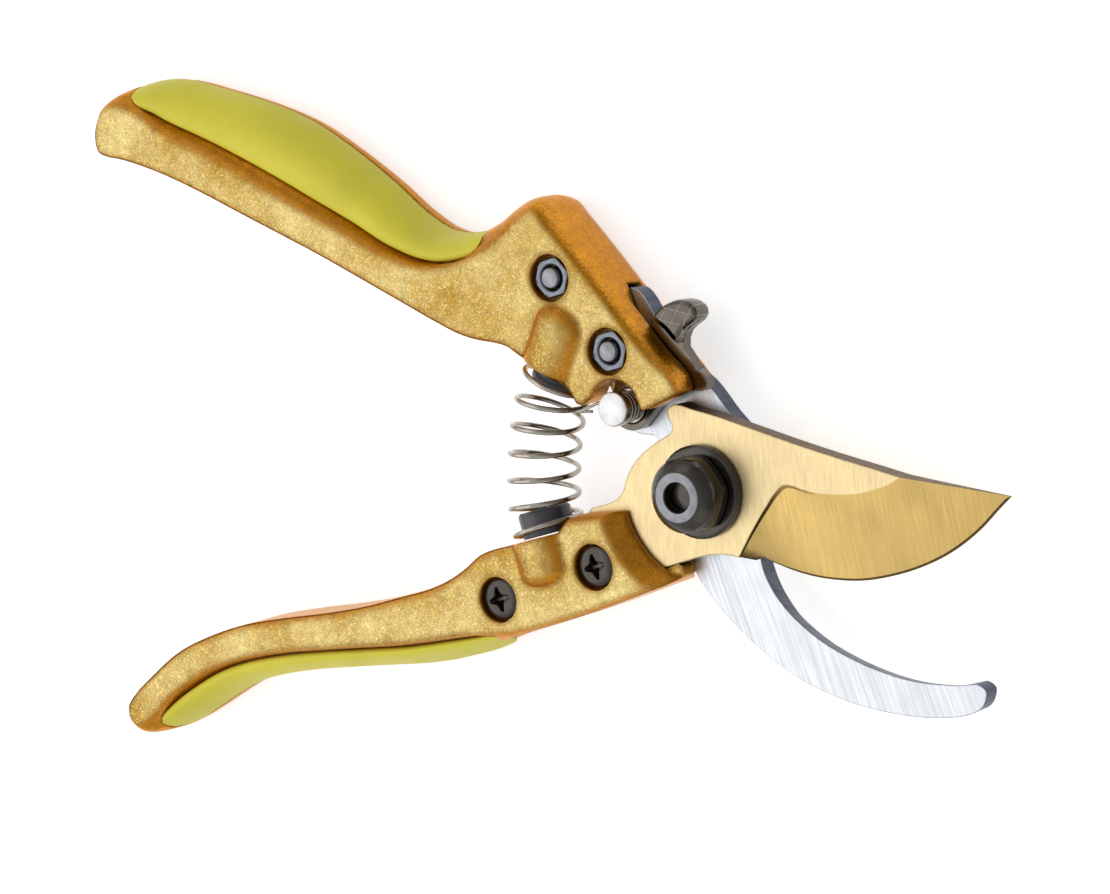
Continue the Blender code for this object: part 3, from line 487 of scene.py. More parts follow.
ENAMEL = FlakePaint("flake_enamel_on_die_cast_aluminium", "#D0BA74", 0.34, 1.8)
RUBBER = SoftInsert("overmoulded_lime_rubber", "#E2D736", 0.52)
# Each ground finish's second colour is the painted shade of its side faces.
COATED_FLAT = BrushedMetal("nitride_coated_ground_flat", "#E0CA9A", 0.38, 0.5, "#5E4216",
                           96.0, (4.0, 0.2), 0.10)
COATED_BEVEL = BrushedMetal("nitride_coated_ground_bevel", "#D6B670", 0.32, 0.1, "#4E3C1C",
                            98.0, (10.0, 0.3), 0.12)
# The strip along the cutting edge and the edge's own faces are painted dark, as the edge's shade.
EDGE_SHADE = BrushedMetal("cutting_edge_painted_shade", "#5E4A2A", 0.3, 0.1, "#3A2E1A", 98.0, (4.0, 0.3))
HOOK_STEEL = BrushedMetal("ground_carbon_steel", "#DADEE3", 0.38, 0.2, "#555B69",
                          -66.0, (14.0, 0.16), 0.2)
BRIGHT_WIRE = SmoothMetal("drawn_spring_wire", "#A9A49C", 0.13, 0.05)
PIN_STEEL = SmoothMetal("polished_pin_steel", "#CFCFCF", 0.28, 0.25)
LEVER_CHROME = SmoothMetal("pressed_dark_chrome", "#6A635A", 0.12, 0.3)
# Its knurl's crests are painted pale, as a highlight.
PAD_CHROME = SmoothMetal("knurled_dark_chrome", "#625C54", 0.14, 0.3, 1.0, 0.12, 1.15, "#958F86")
NUT_STEEL = SmoothMetal("phosphated_nut_steel", "#7C828C", 0.34, 0.2)
NUT_FACE = SmoothMetal("turned_nut_face", "#85868A", 0.3, 0.15)
BOLT_END = SmoothMetal("cropped_bolt_end", "#8C8D90", 0.34, 0.15, 1.0, 0.25)
OXIDE = SmoothMetal("black_oxide_steel", "#4C4844", 0.2, 0.35, 0.9)
NYLON = MouldedPlastic("moulded_black_nylon", "#46464D", 0.30, 0.5)


# ------------------------------------------------------------------ plan geometry

def tangent(before: np.ndarray, point: np.ndarray, after: np.ndarray) -> np.ndarray:
    """Find the unit-speed direction of a centripetal curve at a point.

    Args:
        before: the control before it.
        point: the point.
        after: the control after it.

    Returns:
        The direction.
    """
    near = max(math.dist(before[:2], point[:2]), 1e-6)
    far = max(math.dist(point[:2], after[:2]), 1e-6)
    return ((point - before) / near * far + (after - point) / far * near) / (near + far)


def stretch(start: np.ndarray, end: np.ndarray, pull_in: np.ndarray, pull_out: np.ndarray,
            pieces: int) -> list[np.ndarray]:
    """Put points on one cubic stretch, with its start and without its end.

    Args:
        start: where it starts.
        end: where it ends.
        pull_in: its direction at the start.
        pull_out: its direction at the end.
        pieces: how many points it gets.

    Returns:
        The points.
    """
    return [start * (2 * t**3 - 3 * t**2 + 1) + pull_in * (t**3 - 2 * t**2 + t)
            + end * (3 * t**2 - 2 * t**3) + pull_out * (t**3 - t**2)
            for t in (k / pieces for k in range(pieces))]


def curve_through(points: Line, step: float, closed: bool = False) -> list[np.ndarray]:
    """Put points about one step apart on a smooth curve.

    Args:
        points: the places it runs through; further columns are carried along.
        step: the wanted spacing in millimetres.
        closed: whether the last place joins the first.

    Returns:
        The points, without a repeated end on a closed curve.
    """
    data = list(np.array(points, dtype=float))
    padded = ([data[-1], *data, *data[:2]] if closed else
              [2 * data[0] - data[1], *data, 2 * data[-1] - data[-2]])
    result = []
    for before, start, end, after in zip(padded, padded[1:], padded[2:], padded[3:]):
        length = math.dist(start[:2], end[:2])
        result += stretch(start, end, tangent(before, start, end) * length,
                          tangent(start, end, after) * length, max(1, round(length / step)))
    return result if closed else [*result, data[-1]]


def resampled(points: Line, count: int) -> np.ndarray:
    """Space points evenly on a smooth curve.

    Args:
        points: the places it runs through.
        count: how many points it gets.

    Returns:
        The points, one in each row.
    """
    fine = np.array(curve_through(points, 0.25))
    along = np.concatenate([[0.0], np.cumsum(np.linalg.norm(np.diff(fine, axis=0), axis=1))])
    places = np.linspace(0.0, along[-1], count)
    return np.stack([np.interp(places, along, column) for column in fine.T], axis=1)


def circle(centre: Plan, radius: float, count: int, start: float = 0.0,
           sweep: float = 360.0) -> list[Plan]:
    """Put points round a circle, or along an arc when the sweep is shorter.

    Args:
        centre: its centre.
        radius: its radius.
        count: how many points it gets.
        start: the first point's direction, in degrees.
        sweep: the angle that it covers.

    Returns:
        The points.
    """
    steps = count if abs(sweep) >= 360.0 else count - 1
    angles = [math.radians(start + sweep * k / steps) for k in range(count)]
    return [(centre[0] + radius * math.cos(a), centre[1] + radius * math.sin(a)) for a in angles]


def turned_point(point: Plan, centre: Plan, degrees: float) -> Plan:
    """Turn a plan point about a centre.

    Args:
        point: the point.
        centre: the centre.
        degrees: the angle, anticlockwise.

    Returns:
        The turned point.
    """
    c, s = math.cos(math.radians(degrees)), math.sin(math.radians(degrees))
    x, y = point[0] - centre[0], point[1] - centre[1]
    return (centre[0] + x * c - y * s, centre[1] + x * s + y * c)


def outward_normals(outline: Line) -> np.ndarray:
    """Find each point's unit normal on an anticlockwise outline.

    Args:
        outline: the outline.

    Returns:
        The normals, one in each row.
    """
    data = np.array([p[:2] for p in outline], dtype=float)
    along = np.roll(data, -1, axis=0) - np.roll(data, 1, axis=0)
    normals = np.stack([along[:, 1], -along[:, 0]], axis=1)
    return normals / np.linalg.norm(normals, axis=1, keepdims=True)


def grown(outline: Line, distance: float) -> list[Plan]:
    """Move an anticlockwise outline outwards by a distance."""
    return [(p[0] + n[0] * distance, p[1] + n[1] * distance)
            for p, n in zip(outline, outward_normals(outline))]


def on_nose(*places: Plan) -> list[Plan]:
    """Return, clockwise, the plan points at places along and across the upper nose."""
    c, s = math.cos(math.radians(135.0)), math.sin(math.radians(135.0))
    return [(along * c + across * s, along * s - across * c) for along, across in places[::-1]]


# ------------------------------------------------------------------ mesh making

def metres(point: Sequence[float]) -> Point:
    """Turn (x, y, height) in millimetres into metres above the resting face."""
    return (point[0] * MM, point[1] * MM, (point[2] + MEETING_PLANE) * MM)


def hung(name: str, data: bpy.types.ID) -> Item:
    """Put an object with the given data into the scene.

    Args:
        name: the object's name.
        data: its mesh, lamp or camera.

    Returns:
        The object.
    """
    item = bpy.data.objects.new(name, data)
    bpy.context.scene.collection.objects.link(item)
    return item


def creased(mesh: bpy.types.Mesh, sharp: float) -> None:
    """Shade a mesh smooth, except at edges from an angle in degrees on."""
    mesh.shade_smooth()
    mesh.set_sharp_from_angle(angle=math.radians(sharp))


def baked(item: Item) -> bpy.types.Mesh:
    """Leave one plain mesh in place of an object's modifiers.

    Args:
        item: the object.

    Returns:
        Its new mesh.
    """
    whole = item.evaluated_get(bpy.context.evaluated_depsgraph_get())
    mesh = bpy.data.meshes.new_from_object(whole)
    item.modifiers.clear()
    item.data = mesh
    return mesh


def mesh_object(name: str, points: Line, faces: Sequence[Sequence[int]],
                finishes: Sequence[Finish] = (), marks: Sequence[int] = (),
                sharp: float = 35.0) -> Item:
    """Make one object from millimetre points.

    Args:
        name: the object's name.
        points: the points.
        faces: the faces, by point.
        finishes: its finishes; without any it is a cutter.
        marks: which finish each face takes.
        sharp: the angle from which an edge stays sharp, in degrees.

    Returns:
        The object.
    """
    mesh = bpy.data.meshes.new(name)
    mesh.from_pydata([metres(p) for p in points], [], faces)
    for face, mark in zip(mesh.polygons, marks):
        face.material_index = mark
    shape = bmesh.new()
    shape.from_mesh(mesh)
    bmesh.ops.recalc_face_normals(shape, faces=shape.faces)
    shape.to_mesh(mesh)
    shape.free()
    for finish in finishes:
        mesh.materials.append(finish.material())
    creased(mesh, sharp)
    return hung(name, mesh)


def bands(rows: int, size: int, joined: bool = False) -> list[list[int]]:
    """List the four-sided faces between neighbouring closed loops of points.

    Args:
        rows: how many loops there are.
        size: how many points each has.
        joined: whether the last loop joins the first.

    Returns:
        The faces, by point.
    """
    return [[k * size + i, k * size + (i + 1) % size,
             (k + 1) % rows * size + (i + 1) % size, (k + 1) % rows * size + i]
            for k in range(rows if joined else rows - 1) for i in range(size)]


def rings(name: str, loops: Sequence[Line], finishes: Sequence[Finish] = ()) -> Item:
    """Join closed loops of equal length into a solid with a face at each end.

    Args:
        name: the object's name.
        loops: the loops, each a list of points.
        finishes: its finishes.

    Returns:
        The solid.
    """
    size, rows = len(loops[0]), len(loops)
    ends = [list(range(size)), list(range((rows - 1) * size, rows * size))]
    return mesh_object(name, [p for loop in loops for p in loop], ends + bands(rows, size),
                       finishes)


def plate(name: str, outline: Line, low: float, high: float, finishes: Sequence[Finish] = (),
          edge: float = 0.0) -> Item:
    """Extrude a plan outline between two heights.

    Args:
        name: the object's name.
        outline: the plan outline, anticlockwise.
        low: the back's height.
        high: the front's height.
        finishes: its finishes.
        edge: the radius that its edges are broken to.

    Returns:
        The plate.
    """
    levels = [(0.0, low), (0.0, high)]
    if edge:
        turns = [math.pi / 2 * k / 4 for k in range(5)]
        arc = [(edge * (1 - math.cos(t)), edge * (1 - math.sin(t))) for t in turns]
        levels = ([(edge + 0.15, low)] + [(a, low + b) for a, b in arc[::-1]]
                  + [(a, high - b) for a, b in arc] + [(edge + 0.15, high)])
    return rings(name, [[(*p[:2], z) for p in (grown(outline, -inset) if inset else outline)]
                        for inset, z in levels], finishes)


def turned(name: str, centre: Plan, profile: Line, finishes: Sequence[Finish] = (),
           sides: int = 64) -> Item:
    """Turn a (radius, height) profile about an upright axis, closing both ends."""
    return rings(name, [[(*p, z) for p in circle(centre, radius, sides)]
                        for radius, z in profile], finishes)


def bored(name: str, centre: Plan, radius: float, low: float, high: float,
          sides: int = 64) -> Item:
    """Make the cutter for an upright hole."""
    return turned(name, centre, [(radius, low), (radius, high)], sides=sides)


def rod(name: str, base: Plan, direction: Plan, profile: Line, sides: int = 56) -> Item:
    """Turn a profile about the level axis of the opening spring.

    Args:
        name: the object's name.
        base: where the axis leaves the piece.
        direction: which way it points in the plan.
        profile: the (radius, distance along the axis) points.
        sides: how many points go round.

    Returns:
        The solid.
    """
    axis = Vector((*direction, 0.0)).normalized()
    return rings(name, [[(base[0] + axis.x * distance - axis.y * x,
                          base[1] + axis.y * distance + axis.x * x, SPRING_HEIGHT + z)
                         for x, z in circle(PIVOT, radius, sides)]
                        for radius, distance in profile])


def carve(item: Item, tools: Sequence[Item], operation: str = "DIFFERENCE",
          sharp: float = 35.0) -> Item:
    """Cut tools out of a piece, or join them to it, and leave one plain mesh.

    Args:
        item: the piece.
        tools: the cutters, which are removed.
        operation: the Boolean's operation.
        sharp: the angle from which an edge stays sharp, in degrees.

    Returns:
        The piece.
    """
    for tool in tools:
        step = item.modifiers.new(tool.name, "BOOLEAN")
        step.operation, step.object, step.solver = operation, tool, "EXACT"
    creased(baked(item), sharp)
    for tool in tools:
        bpy.data.objects.remove(tool, do_unlink=True)
    return item


def settle(piece: Item, body: Body, slot: Slot, *nodes: str) -> None:
    """Let a finished piece ride on its body in place of its CAD nodes.

    Args:
        piece: the piece.
        body: the body that carries it.
        slot: the record's slot for its finish; not used.
        *nodes: the CAD nodes that it replaces.
    """
    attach(piece, body.value)
    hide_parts(*nodes)
    LOG.info("%s: %d faces", piece.name, len(piece.data.polygons))


def dress_node(node: str, finish: Finish) -> None:
    """Give a CAD node that keeps its shape a detailed material.

    Args:
        node: the node's name.
        finish: its finish.
    """
    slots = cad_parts[node].data.materials
    slots.clear()
    slots.append(finish.material())
    LOG.info("%s: dressed", node)


class WireTree:
    """The Geometry Nodes tree that draws a round wire along a path of points."""

    def __init__(self) -> None:
        """Build the tree with named inputs for its sizes."""
        self.tree = bpy.data.node_groups.new("round_wire", "GeometryNodeTree")
        for name, kind in (("Path", "Geometry"), ("Wire radius", "Float"), ("Sides", "Int"),
                           ("Finish", "Material")):
            self.tree.interface.new_socket(name, in_out="INPUT", socket_type=f"NodeSocket{kind}")
        self.tree.interface.new_socket("Wire", in_out="OUTPUT",
                                       socket_type="NodeSocketGeometry")
        sheet = Sheet(self.tree)
        given = sheet.add("NodeGroupInput").outputs
        line = sheet.add("GeometryNodeMeshToCurve", {"Mesh": given["Path"]})
        ring = sheet.add("GeometryNodeCurvePrimitiveCircle", {
            "Resolution": given["Sides"], "Radius": given["Wire radius"]})
        skin = sheet.add("GeometryNodeCurveToMesh", {
            "Curve": line.outputs[0], "Profile Curve": ring.outputs[0], "Fill Caps": True})
        smooth = sheet.add("GeometryNodeSetShadeSmooth", {"Geometry": skin.outputs[0]})
        real = sheet.add("GeometryNodeRealizeInstances", {"Geometry": smooth.outputs[0]})
        done = sheet.add("GeometryNodeSetMaterial", {
            "Geometry": real.outputs[0], "Material": given["Finish"]})
        sheet.add("NodeGroupOutput", {"Wire": done.outputs[0]})

    def draw(self, name: str, path: Line, diameter: float, sides: int = 14) -> Item:
        """Draw one bright wire and leave it as a plain mesh.

        Args:
            name: the object's name.
            path: its millimetre points.
            diameter: the wire's diameter in millimetres.
            sides: how many faces go round it.

        Returns:
            The wire.
        """
        mesh = bpy.data.meshes.new(f"{name}_path")
        mesh.from_pydata([metres(p) for p in path], [(k, k + 1) for k in range(len(path) - 1)], [])
        item = hung(name, mesh)
        step = item.modifiers.new("wire", "NODES")
        step.node_group = self.tree
        values = {"Wire radius": diameter / 2 * MM, "Sides": sides,
                  "Finish": BRIGHT_WIRE.material()}
        for socket in self.tree.interface.items_tree:
            if socket.name in values:
                step[socket.identifier] = values[socket.name]
        baked(item).name = name
        return item


# ------------------------------------------------------------------ handles

@dataclass
class Handle:
    """A die-cast handle and its soft insert.

    The outline runs anticlockwise. Each control is (x, y, inset of the front face,
    depth over which the edge rounds in, share of the palm section, the back's own
    inset), where the last two may be left out. One with only its place keeps the
    values of the one before.
    """

    name: str
    body: Body
    controls: Sequence[Sequence[float]]
    grip_name: str
    grip_ends: Plan
    boss_face: tuple[Plan, Plan]
    swell_face: tuple[Plan, Plan]
    boss_length: float
    fasteners: dict[str, Plan]
    # How far the insert stands out of the casting, by place along it.
    proud: tuple[Plan, ...] = ((0.0, 0.0),)
    step: float = 1.2
    grip_taper: float = 9.0
    boss_radius: float = 7.4
    recess_radius: float = 4.4
    # (share of the inset, height) of the palm side, front to back. A plain edge rounds
    # in over the rows up to round_rows, drops straight over one, and rounds out again.
    round_rows: int = 8
    palm: tuple[Plan, ...] = (
        (1.00, 8.0), (0.94, 7.75), (0.87, 7.0), (0.81, 5.9), (0.73, 5.0), (0.58, 5.2),
        (0.40, 5.0), (0.22, 3.8), (0.08, 2.0), (0.0, -0.6), (0.0, -4.6), (0.04, -6.5),
        (0.14, -7.5))
    # The insert's outer and inner faces, in the same way.
    grip_outer: tuple[Plan, ...] = (
        (0.735, 5.3), (0.70, 6.0), (0.58, 6.35), (0.42, 6.1), (0.26, 5.1), (0.12, 3.5),
        (0.02, 1.5), (-0.03, -0.8), (-0.02, -2.6), (0.03, -3.4))
    grip_inner: tuple[Plan, ...] = (
        (0.72, 3.7), (0.68, 4.0), (0.58, 4.2), (0.46, 4.0), (0.35, 3.2), (0.25, 1.9),
        (0.17, 0.4), (0.14, -1.0), (0.14, -2.3), (0.15, -3.2))

    def outline(self, step: float) -> list[np.ndarray]:
        """Lay the smooth outline with its section values.

        Args:
            step: the spacing of its points.

        Returns:
            The points, each (x, y, inset, depth, share, back inset).
        """
        points, edge = [], ()
        for x, y, *given in self.controls:
            edge = given or edge
            share = edge[2] if len(edge) > 2 else 0
            back = edge[3] if len(edge) > 3 else min(max(edge[0], 0.6), 3.4)
            points.append((x, y, *edge[:2], share, back))
        return curve_through(points, step, closed=True)

    def section(self, inset: float, depth: float, share: float, back: float) -> np.ndarray:
        """Draw the (inset, height) line of the edge, from front to back.

        Args:
            inset: the front face's inset.
            depth: the depth over which the edge rounds in.
            share: how much of the palm section shows.
            back: the back face's inset.

        Returns:
            The smoothed line, with a short lead on to each flat face.
        """
        line = []
        back_depth = min(max(depth, back), 5.5)
        for k, (part, height) in enumerate(self.palm):
            if k <= self.round_rows:
                turn = math.pi / 2 * k / self.round_rows
                plain = (inset * (1 - math.sin(turn)), FRONT - depth * (1 - math.cos(turn)))
            elif k == self.round_rows + 1:
                plain = (0.0, min(0.0, FRONT - depth - 1.0))
            else:
                turn = math.pi / 2 * (k - self.round_rows - 2) / 2
                plain = (back * (1 - math.cos(turn)), BACK + back_depth * (1 - math.sin(turn)))
            line.append((plain[0] * (1 - share) + part * inset * share,
                         plain[1] * (1 - share) + height * share))
        fine = self.smoothed(np.array(line), 3)
        lead = np.array([0.2, 0.0])
        return np.array([fine[0] + lead, *fine, fine[-1] + lead])

    @staticmethod
    def smoothed(line: np.ndarray, pieces: int) -> np.ndarray:
        """Put more points on a line.

        Args:
            line: the line's points.
            pieces: how many pieces each of its stretches gets.

        Returns:
            The finer line.
        """
        padded = [line[0], *line, line[-1]]
        result = []
        for before, start, end, after in zip(padded, padded[1:], padded[2:], padded[3:]):
            result += stretch(start, end, (end - before) / 2, (after - start) / 2, pieces)
        return np.array([*result, line[-1]])

    def casting(self) -> Item:
        """Loft the casting, each outline point with its own edge section.

        Returns:
            The plain casting.
        """
        outline = self.outline(self.step)
        normals = outward_normals(outline)
        plan = np.array([p[:2] for p in outline])
        sections = np.array([
            self.section(max(p[2], 0.3), max(p[3], 0.3), min(max(p[4], 0.0), 1.0), p[5])
            for p in outline])
        loops = [np.column_stack([plan - normals * insets[:, None], heights])
                 for insets, heights in sections.transpose(1, 2, 0)]
        return rings(f"{self.name}_casting", loops, [ENAMEL])

    def grip_ring(self, inset: float, spread: float, proud: float, count: int) -> list[Plan]:
        """Draw the insert's section.

        Args:
            inset: the casting's inset there.
            spread: how much of the section shows, about its middle.
            proud: how far its lower part stands out of the casting.
            count: how many points each of its faces gets.

        Returns:
            The (inset, height) points of the outer face, then of the inner one.
        """
        places = 0.5 + (np.linspace(0.0, 1.0, count) - 0.5) * spread
        sides = []
        for shape, out in ((self.grip_outer, proud), (self.grip_inner, 0.0)):
            line = self.smoothed(np.array([
                (a * inset - out * float(np.interp(b, [-0.8, 5.0], [1.0, 0.0])), b)
                for a, b in shape]), 4)
            knots = np.linspace(0.0, 1.0, len(line))
            sides.append([tuple(float(np.interp(t, knots, column)) for column in line.T)
                          for t in places])
        return sides[0] + sides[1][::-1]

    def insert(self, name: str, clearance: float = 0.0, finishes: Sequence[Finish] = ()) -> Item:
        """Make the soft insert, or the recess it sits in when there is clearance.

        Args:
            name: the object's name.
            clearance: how far the recess stands off.
            finishes: its finishes.

        Returns:
            The insert or the cutter.
        """
        fine = self.outline(0.5)
        places = [(fine[k] + fine[k + 1]) / 2 for k in range(0, len(fine) - 1, 2)]
        stations = [(p, n) for p, n in zip(places, outward_normals(places))
                    if self.grip_ends[0] < p[0] < self.grip_ends[1] and p[4] > 0.02]
        if clearance:
            stations = stations[:-2:3] + stations[-1:]
        first = stations[0][0][0]
        reach = abs(stations[-1][0][0] - first)
        loops = []
        for p, n in stations:
            travel = abs(p[0] - first)
            near_end = min(travel, reach - travel) + self.grip_taper * 0.04
            spread = math.sqrt(1 - (1 - min(near_end / self.grip_taper, 1.0)) ** 2)
            if clearance:
                ring = self.opened(self.grip_ring(p[2], spread, 0.0, 10), clearance)
            else:
                stands = float(np.interp(p[0], *zip(*self.proud)))
                ring = self.grip_ring(p[2], spread, stands * spread, 28)
            loops.append([(p[0] - n[0] * a, p[1] - n[1] * a, b) for a, b in ring])
        return rings(name, self.stretched(loops, clearance), finishes)

    @staticmethod
    def opened(ring: list[Plan], clearance: float) -> list[Plan]:
        """Widen an insert's section into its recess, which runs out of the casting.

        Args:
            ring: the insert's section.
            clearance: how far the recess stands off.

        Returns:
            The recess's section.
        """
        size = len(ring) // 2
        near, far = grown(ring, clearance), grown(ring, 2.2)
        top = (near[0][0] + clearance * 0.3, ring[0][1] + 1.6)
        bottom = (ring[size - 1][0] - 1.6, near[size - 1][1])
        return [top] + far[1:size - 1] + [bottom] + near[size:]

    @staticmethod
    def stretched(loops: list[list[Point]], distance: float) -> list[np.ndarray]:
        """Move the first and last loops apart, past the insert's ends.

        Args:
            loops: the loops.
            distance: how far each end moves.

        Returns:
            The loops.
        """
        data = [np.array(loop) for loop in loops]
        for end, inner in ((0, 1), (-1, -2)):
            away = data[end].mean(axis=0) - data[inner].mean(axis=0)
            data[end] = data[end] + away / np.linalg.norm(away) * distance
        return data

    def swell(self) -> Item:
        """Make the round boss that holds the spring's seat.

        Returns:
            The boss, to be joined to the casting.
        """
        centre, normal = self.swell_face
        shape = ((0.4, 0.0), (0.1, 0.12 / self.boss_length), (0.0, 0.4 / self.boss_length),
                 (0.0, 0.70), (0.1, 0.76), (0.35, 0.82), (0.8, 0.89), (1.5, 0.95), (2.4, 1.0))
        return rod(f"{self.name}_boss", centre, (-normal[0], -normal[1]), [
            (self.boss_radius - inset, self.boss_length * share) for inset, share in shape])

    def fastener_rooms(self) -> list[Item]:
        """Make the cutters for the fasteners' holes and the recesses on both faces."""
        rooms = ((BOLT_HOLE, BACK - OUT, FRONT + OUT),
                 (self.recess_radius, FRONT - 3.0, FRONT + 2.0),
                 (self.recess_radius, BACK - OUT, BACK + 2.0))
        return [bored(f"{self.name}_{place}_{k}", centre, *room, 48)
                for place, centre in self.fasteners.items() for k, room in enumerate(rooms)]

    def rooms(self) -> list[Item]:
        """Make the cutters that are this handle's own."""
        raise NotImplementedError

    def build(self) -> None:
        """Make the casting and its insert, and let them ride."""
        casting = carve(self.casting(), [self.swell()], "UNION")
        seat = self.boss_radius - 0.2
        seat_room = rod(f"{self.name}_seat_room", *self.boss_face, [(seat, 0.0), (seat, 7.0)])
        recess = self.insert(f"{self.name}_recess", 0.35)
        carve(casting, [seat_room, *self.rooms(), recess, *self.fastener_rooms()])
        settle(casting, self.body, Slot.PAINT, self.name)
        grip = self.insert(f"{self.grip_name}_insert", 0.0, [RUBBER])
        settle(grip, self.body, Slot.RUBBER, self.grip_name)


class UpperHandle(Handle):
    """The handle that carries the hook's tang and the lock."""

    def rooms(self) -> list[Item]:
        """Make the tang's and lever's slots and the relief behind the nose.

        Returns:
            The cutters.
        """
        tang = on_nose((4, 18), (38.9, 18), (38.9, 9.9), (54.4, 9.9), (54.4, -1.6), (33.0, -3.6),
                       (28.5, -14), (4, -14))
        lever = on_nose((4, 18), (38.9, 18), (38.9, 12.0), (31.5, 9.0), (31.5, -3.6),
                        (28.5, -14), (4, -14))
        relief = on_nose((4, 18), (30.6, 18), (30.6, 9.7), (4, 9.7))
        return [plate("tang_room", tang, HOOK_BACK - GAP, GAP),
                plate("lever_room", lever, 0.0, 2.85),
                plate("nose_relief", relief, BACK - OUT, HOOK_BACK)]


class LowerHandle(Handle):
    """The handle that carries the cutting blade's tail."""

    def rooms(self) -> list[Item]:
        """Make the tail's slot and the round clearances about the pivot.

        Returns:
            The cutters.
        """
        tail = [(-12.0, -2.0), (-19.0, -1.0), *CuttingBlade.SPINE[-3:], *CuttingBlade.TAIL,
                CuttingBlade.HEEL[0], (-2.0, -12.0), (-4.0, -6.0)]
        return [plate("tail_room", grown(tail, GAP), CUT_BACK - GAP, CUT_FRONT + GAP),
                turned("pivot_room", PIVOT, [
                    (16.8, CUT_FRONT), (16.9, CUT_FRONT + 1.0), (18.2, 6.0), (20.7, 8.0),
                    (22.2, 9.5)], sides=96),
                turned("hook_room", PIVOT, [(21.6, BACK - OUT), (19.2, -4.2), (16.6, 0.1)],
                       sides=96),
                bored("blade_room", PIVOT, 14.4, BACK - OUT, FRONT, 96)]


LOCK_ARCH = circle(LOCK_PIN, 5.45, 9, 165.0, -150.0)
UPPER_CONTROLS = [
    (-144.4, 54.3, 0.9, 0.9), (-142.4, 53.6, 0.8, 0.8), (-138.6, 53.2), (-127.7, 51.0),
    (-116.9, 47.8), (-106.4, 44.2), (-96.1, 40.7), (-85.9, 37.2), (-76.0, 33.5), (-66.2, 29.8),
    (-56.6, 26.2), (-51.8, 24.6), (-47.1, 23.8, 0.9, 0.9), (-43.5, 23.6, 1.0, 1.0),
    (-40.6, 23.1), (-38.8, 22.4, 0.6, 0.6), (-32.5, 19.4, 0.5, 0.5), (-26.6, 16.5, 0.6, 0.6),
    (-25.7, 15.5, 0.6, 0.8), (-24.7, 14.0), (-23.6, 13.8), (-22.5, 14.7), *LOCK_ARCH,
    (-10.4, 14.1, 0.5, 0.8), (-9.2, 14.4, 0.7, 1.0), (-6.5, 15.8, 0.9, 1.0),
    (-4.1, 17.0, 0.8, 1.4), (-2.6, 18.2, 0.9, 2.0), (-3.0, 19.6, 1.2, 4.0),
    (-8.3, 25.0, 2.3, 6.5), (-19.3, 35.9), (-28.3, 44.8, 2.4, 6.5), (-31.7, 48.1, 2.7, 6.5),
    (-33.6, 50.0, 2.9, 6.5), (-35.5, 50.7, 3.2, 6.5), (-38.0, 50.3, 4.3, 6.5),
    (-40.9, 48.8, 5.6, 6.5), (-45.6, 45.6, 6.4, 6.5, 0.1), (-50.2, 43.5, 5.8, 6.5, 0.3),
    (-54.5, 42.5, 6.0, 6.5, 0.6), (-58.5, 42.3, 6.6, 6.5, 0.9), (-62.4, 43.0, 7.2, 6.5, 1),
    (-67.0, 45.2, 8.6, 6.5, 1), (-75.6, 50.9, 11.2, 6.5, 1), (-85.4, 56.6, 13.4, 6.5, 1),
    (-95.5, 61.5, 14.4, 6.5, 1), (-105.7, 64.6, 13.6, 6.5, 1), (-113.5, 66.3, 12.4, 6.5, 1),
    (-119.5, 67.4, 11.4, 6.5, 1), (-125.0, 68.4, 10.6, 6.5, 1), (-130.5, 68.9, 9.0, 6.5, 0.9),
    (-135.5, 68.3, 7.0, 6.0, 0.6), (-139.5, 67.0, 5.0, 5.0, 0.3), (-142.6, 65.0, 3.0, 4.0),
    (-144.4, 62.6, 1.6, 2.0), (-145.1, 59.5, 1.0, 1.0), (-145.2, 56.2, 0.9, 0.9)]
LOWER_CONTROLS = [
    (-16.0, -5.4, 1.2, 1.6), (-18.7, -5.7, 1.6, 2.6), (-22.5, -6.3, 2.0, 2.6), (-25.9, -7.1),
    (-27.9, -8.1, 1.8, 2.2), (-29.4, -10.0, 1.4, 1.6), (-30.6, -11.0, 0.8, 1.0),
    (-35.4, -12.6, 0.5, 0.5), (-41.6, -14.7, 0.8, 1.0), (-44.5, -15.6, 1.6, 1.4),
    (-47.6, -17.1, 2.2, 1.4), (-50.6, -19.7, 2.4, 1.4), (-54.2, -22.3), (-59.2, -24.9),
    (-66.7, -27.6), (-76.8, -31.0), (-87.1, -33.7), (-97.6, -36.1), (-108.3, -39.0, 2.2, 1.3),
    (-116.6, -42.3, 2.0, 1.2), (-125.0, -46.7, 1.6, 1.0), (-132.2, -52.5, 1.2, 0.8),
    (-137.9, -57.9, 0.8, 0.8), (-139.6, -60.2), (-140.2, -62.4, 1.2, 1.4),
    (-139.2, -64.6, 2.0, 2.4), (-137.0, -66.0, 3.0, 3.4), (-133.5, -65.8, 4.2, 4.4, 0.3),
    (-129.5, -63.9, 5.0, 5.0, 0.6), (-124.6, -60.7, 5.8, 6.0, 1), (-119.0, -57.0, 6.0, 6.0, 1),
    (-113.5, -53.6, 5.8, 6.0, 1), (-107.6, -51.0, 5.6, 6.0, 1), (-97.0, -47.6, 5.2, 6.0, 1),
    (-86.0, -45.0, 4.8, 6.0, 1), (-75.8, -42.9, 4.6, 6.0, 1), (-65.7, -40.8, 4.4, 6.0, 1),
    (-55.8, -38.0, 4.0, 6.0, 1), (-48.6, -35.6, 3.4, 5.0, 0.7), (-42.3, -32.7, 2.2, 3.0, 0.1),
    (-35.3, -30.0, 1.2, 2.0, 0, 2.6), (-26.2, -26.4, 1.0, 1.6, 0, 2.6), (-17.2, -22.6),
    (-9.9, -19.3, 1.0, 1.4, 0, 2.6), (-5.3, -17.1, 0.9, 1.2, 0, 1.6), (-3.7, -15.8, 0.8, 1.0),
    (-4.0, -14.3), (-6.5, -13.6), (-11.0, -11.2), (-14.4, -7.6)]


# ------------------------------------------------------------------ blades

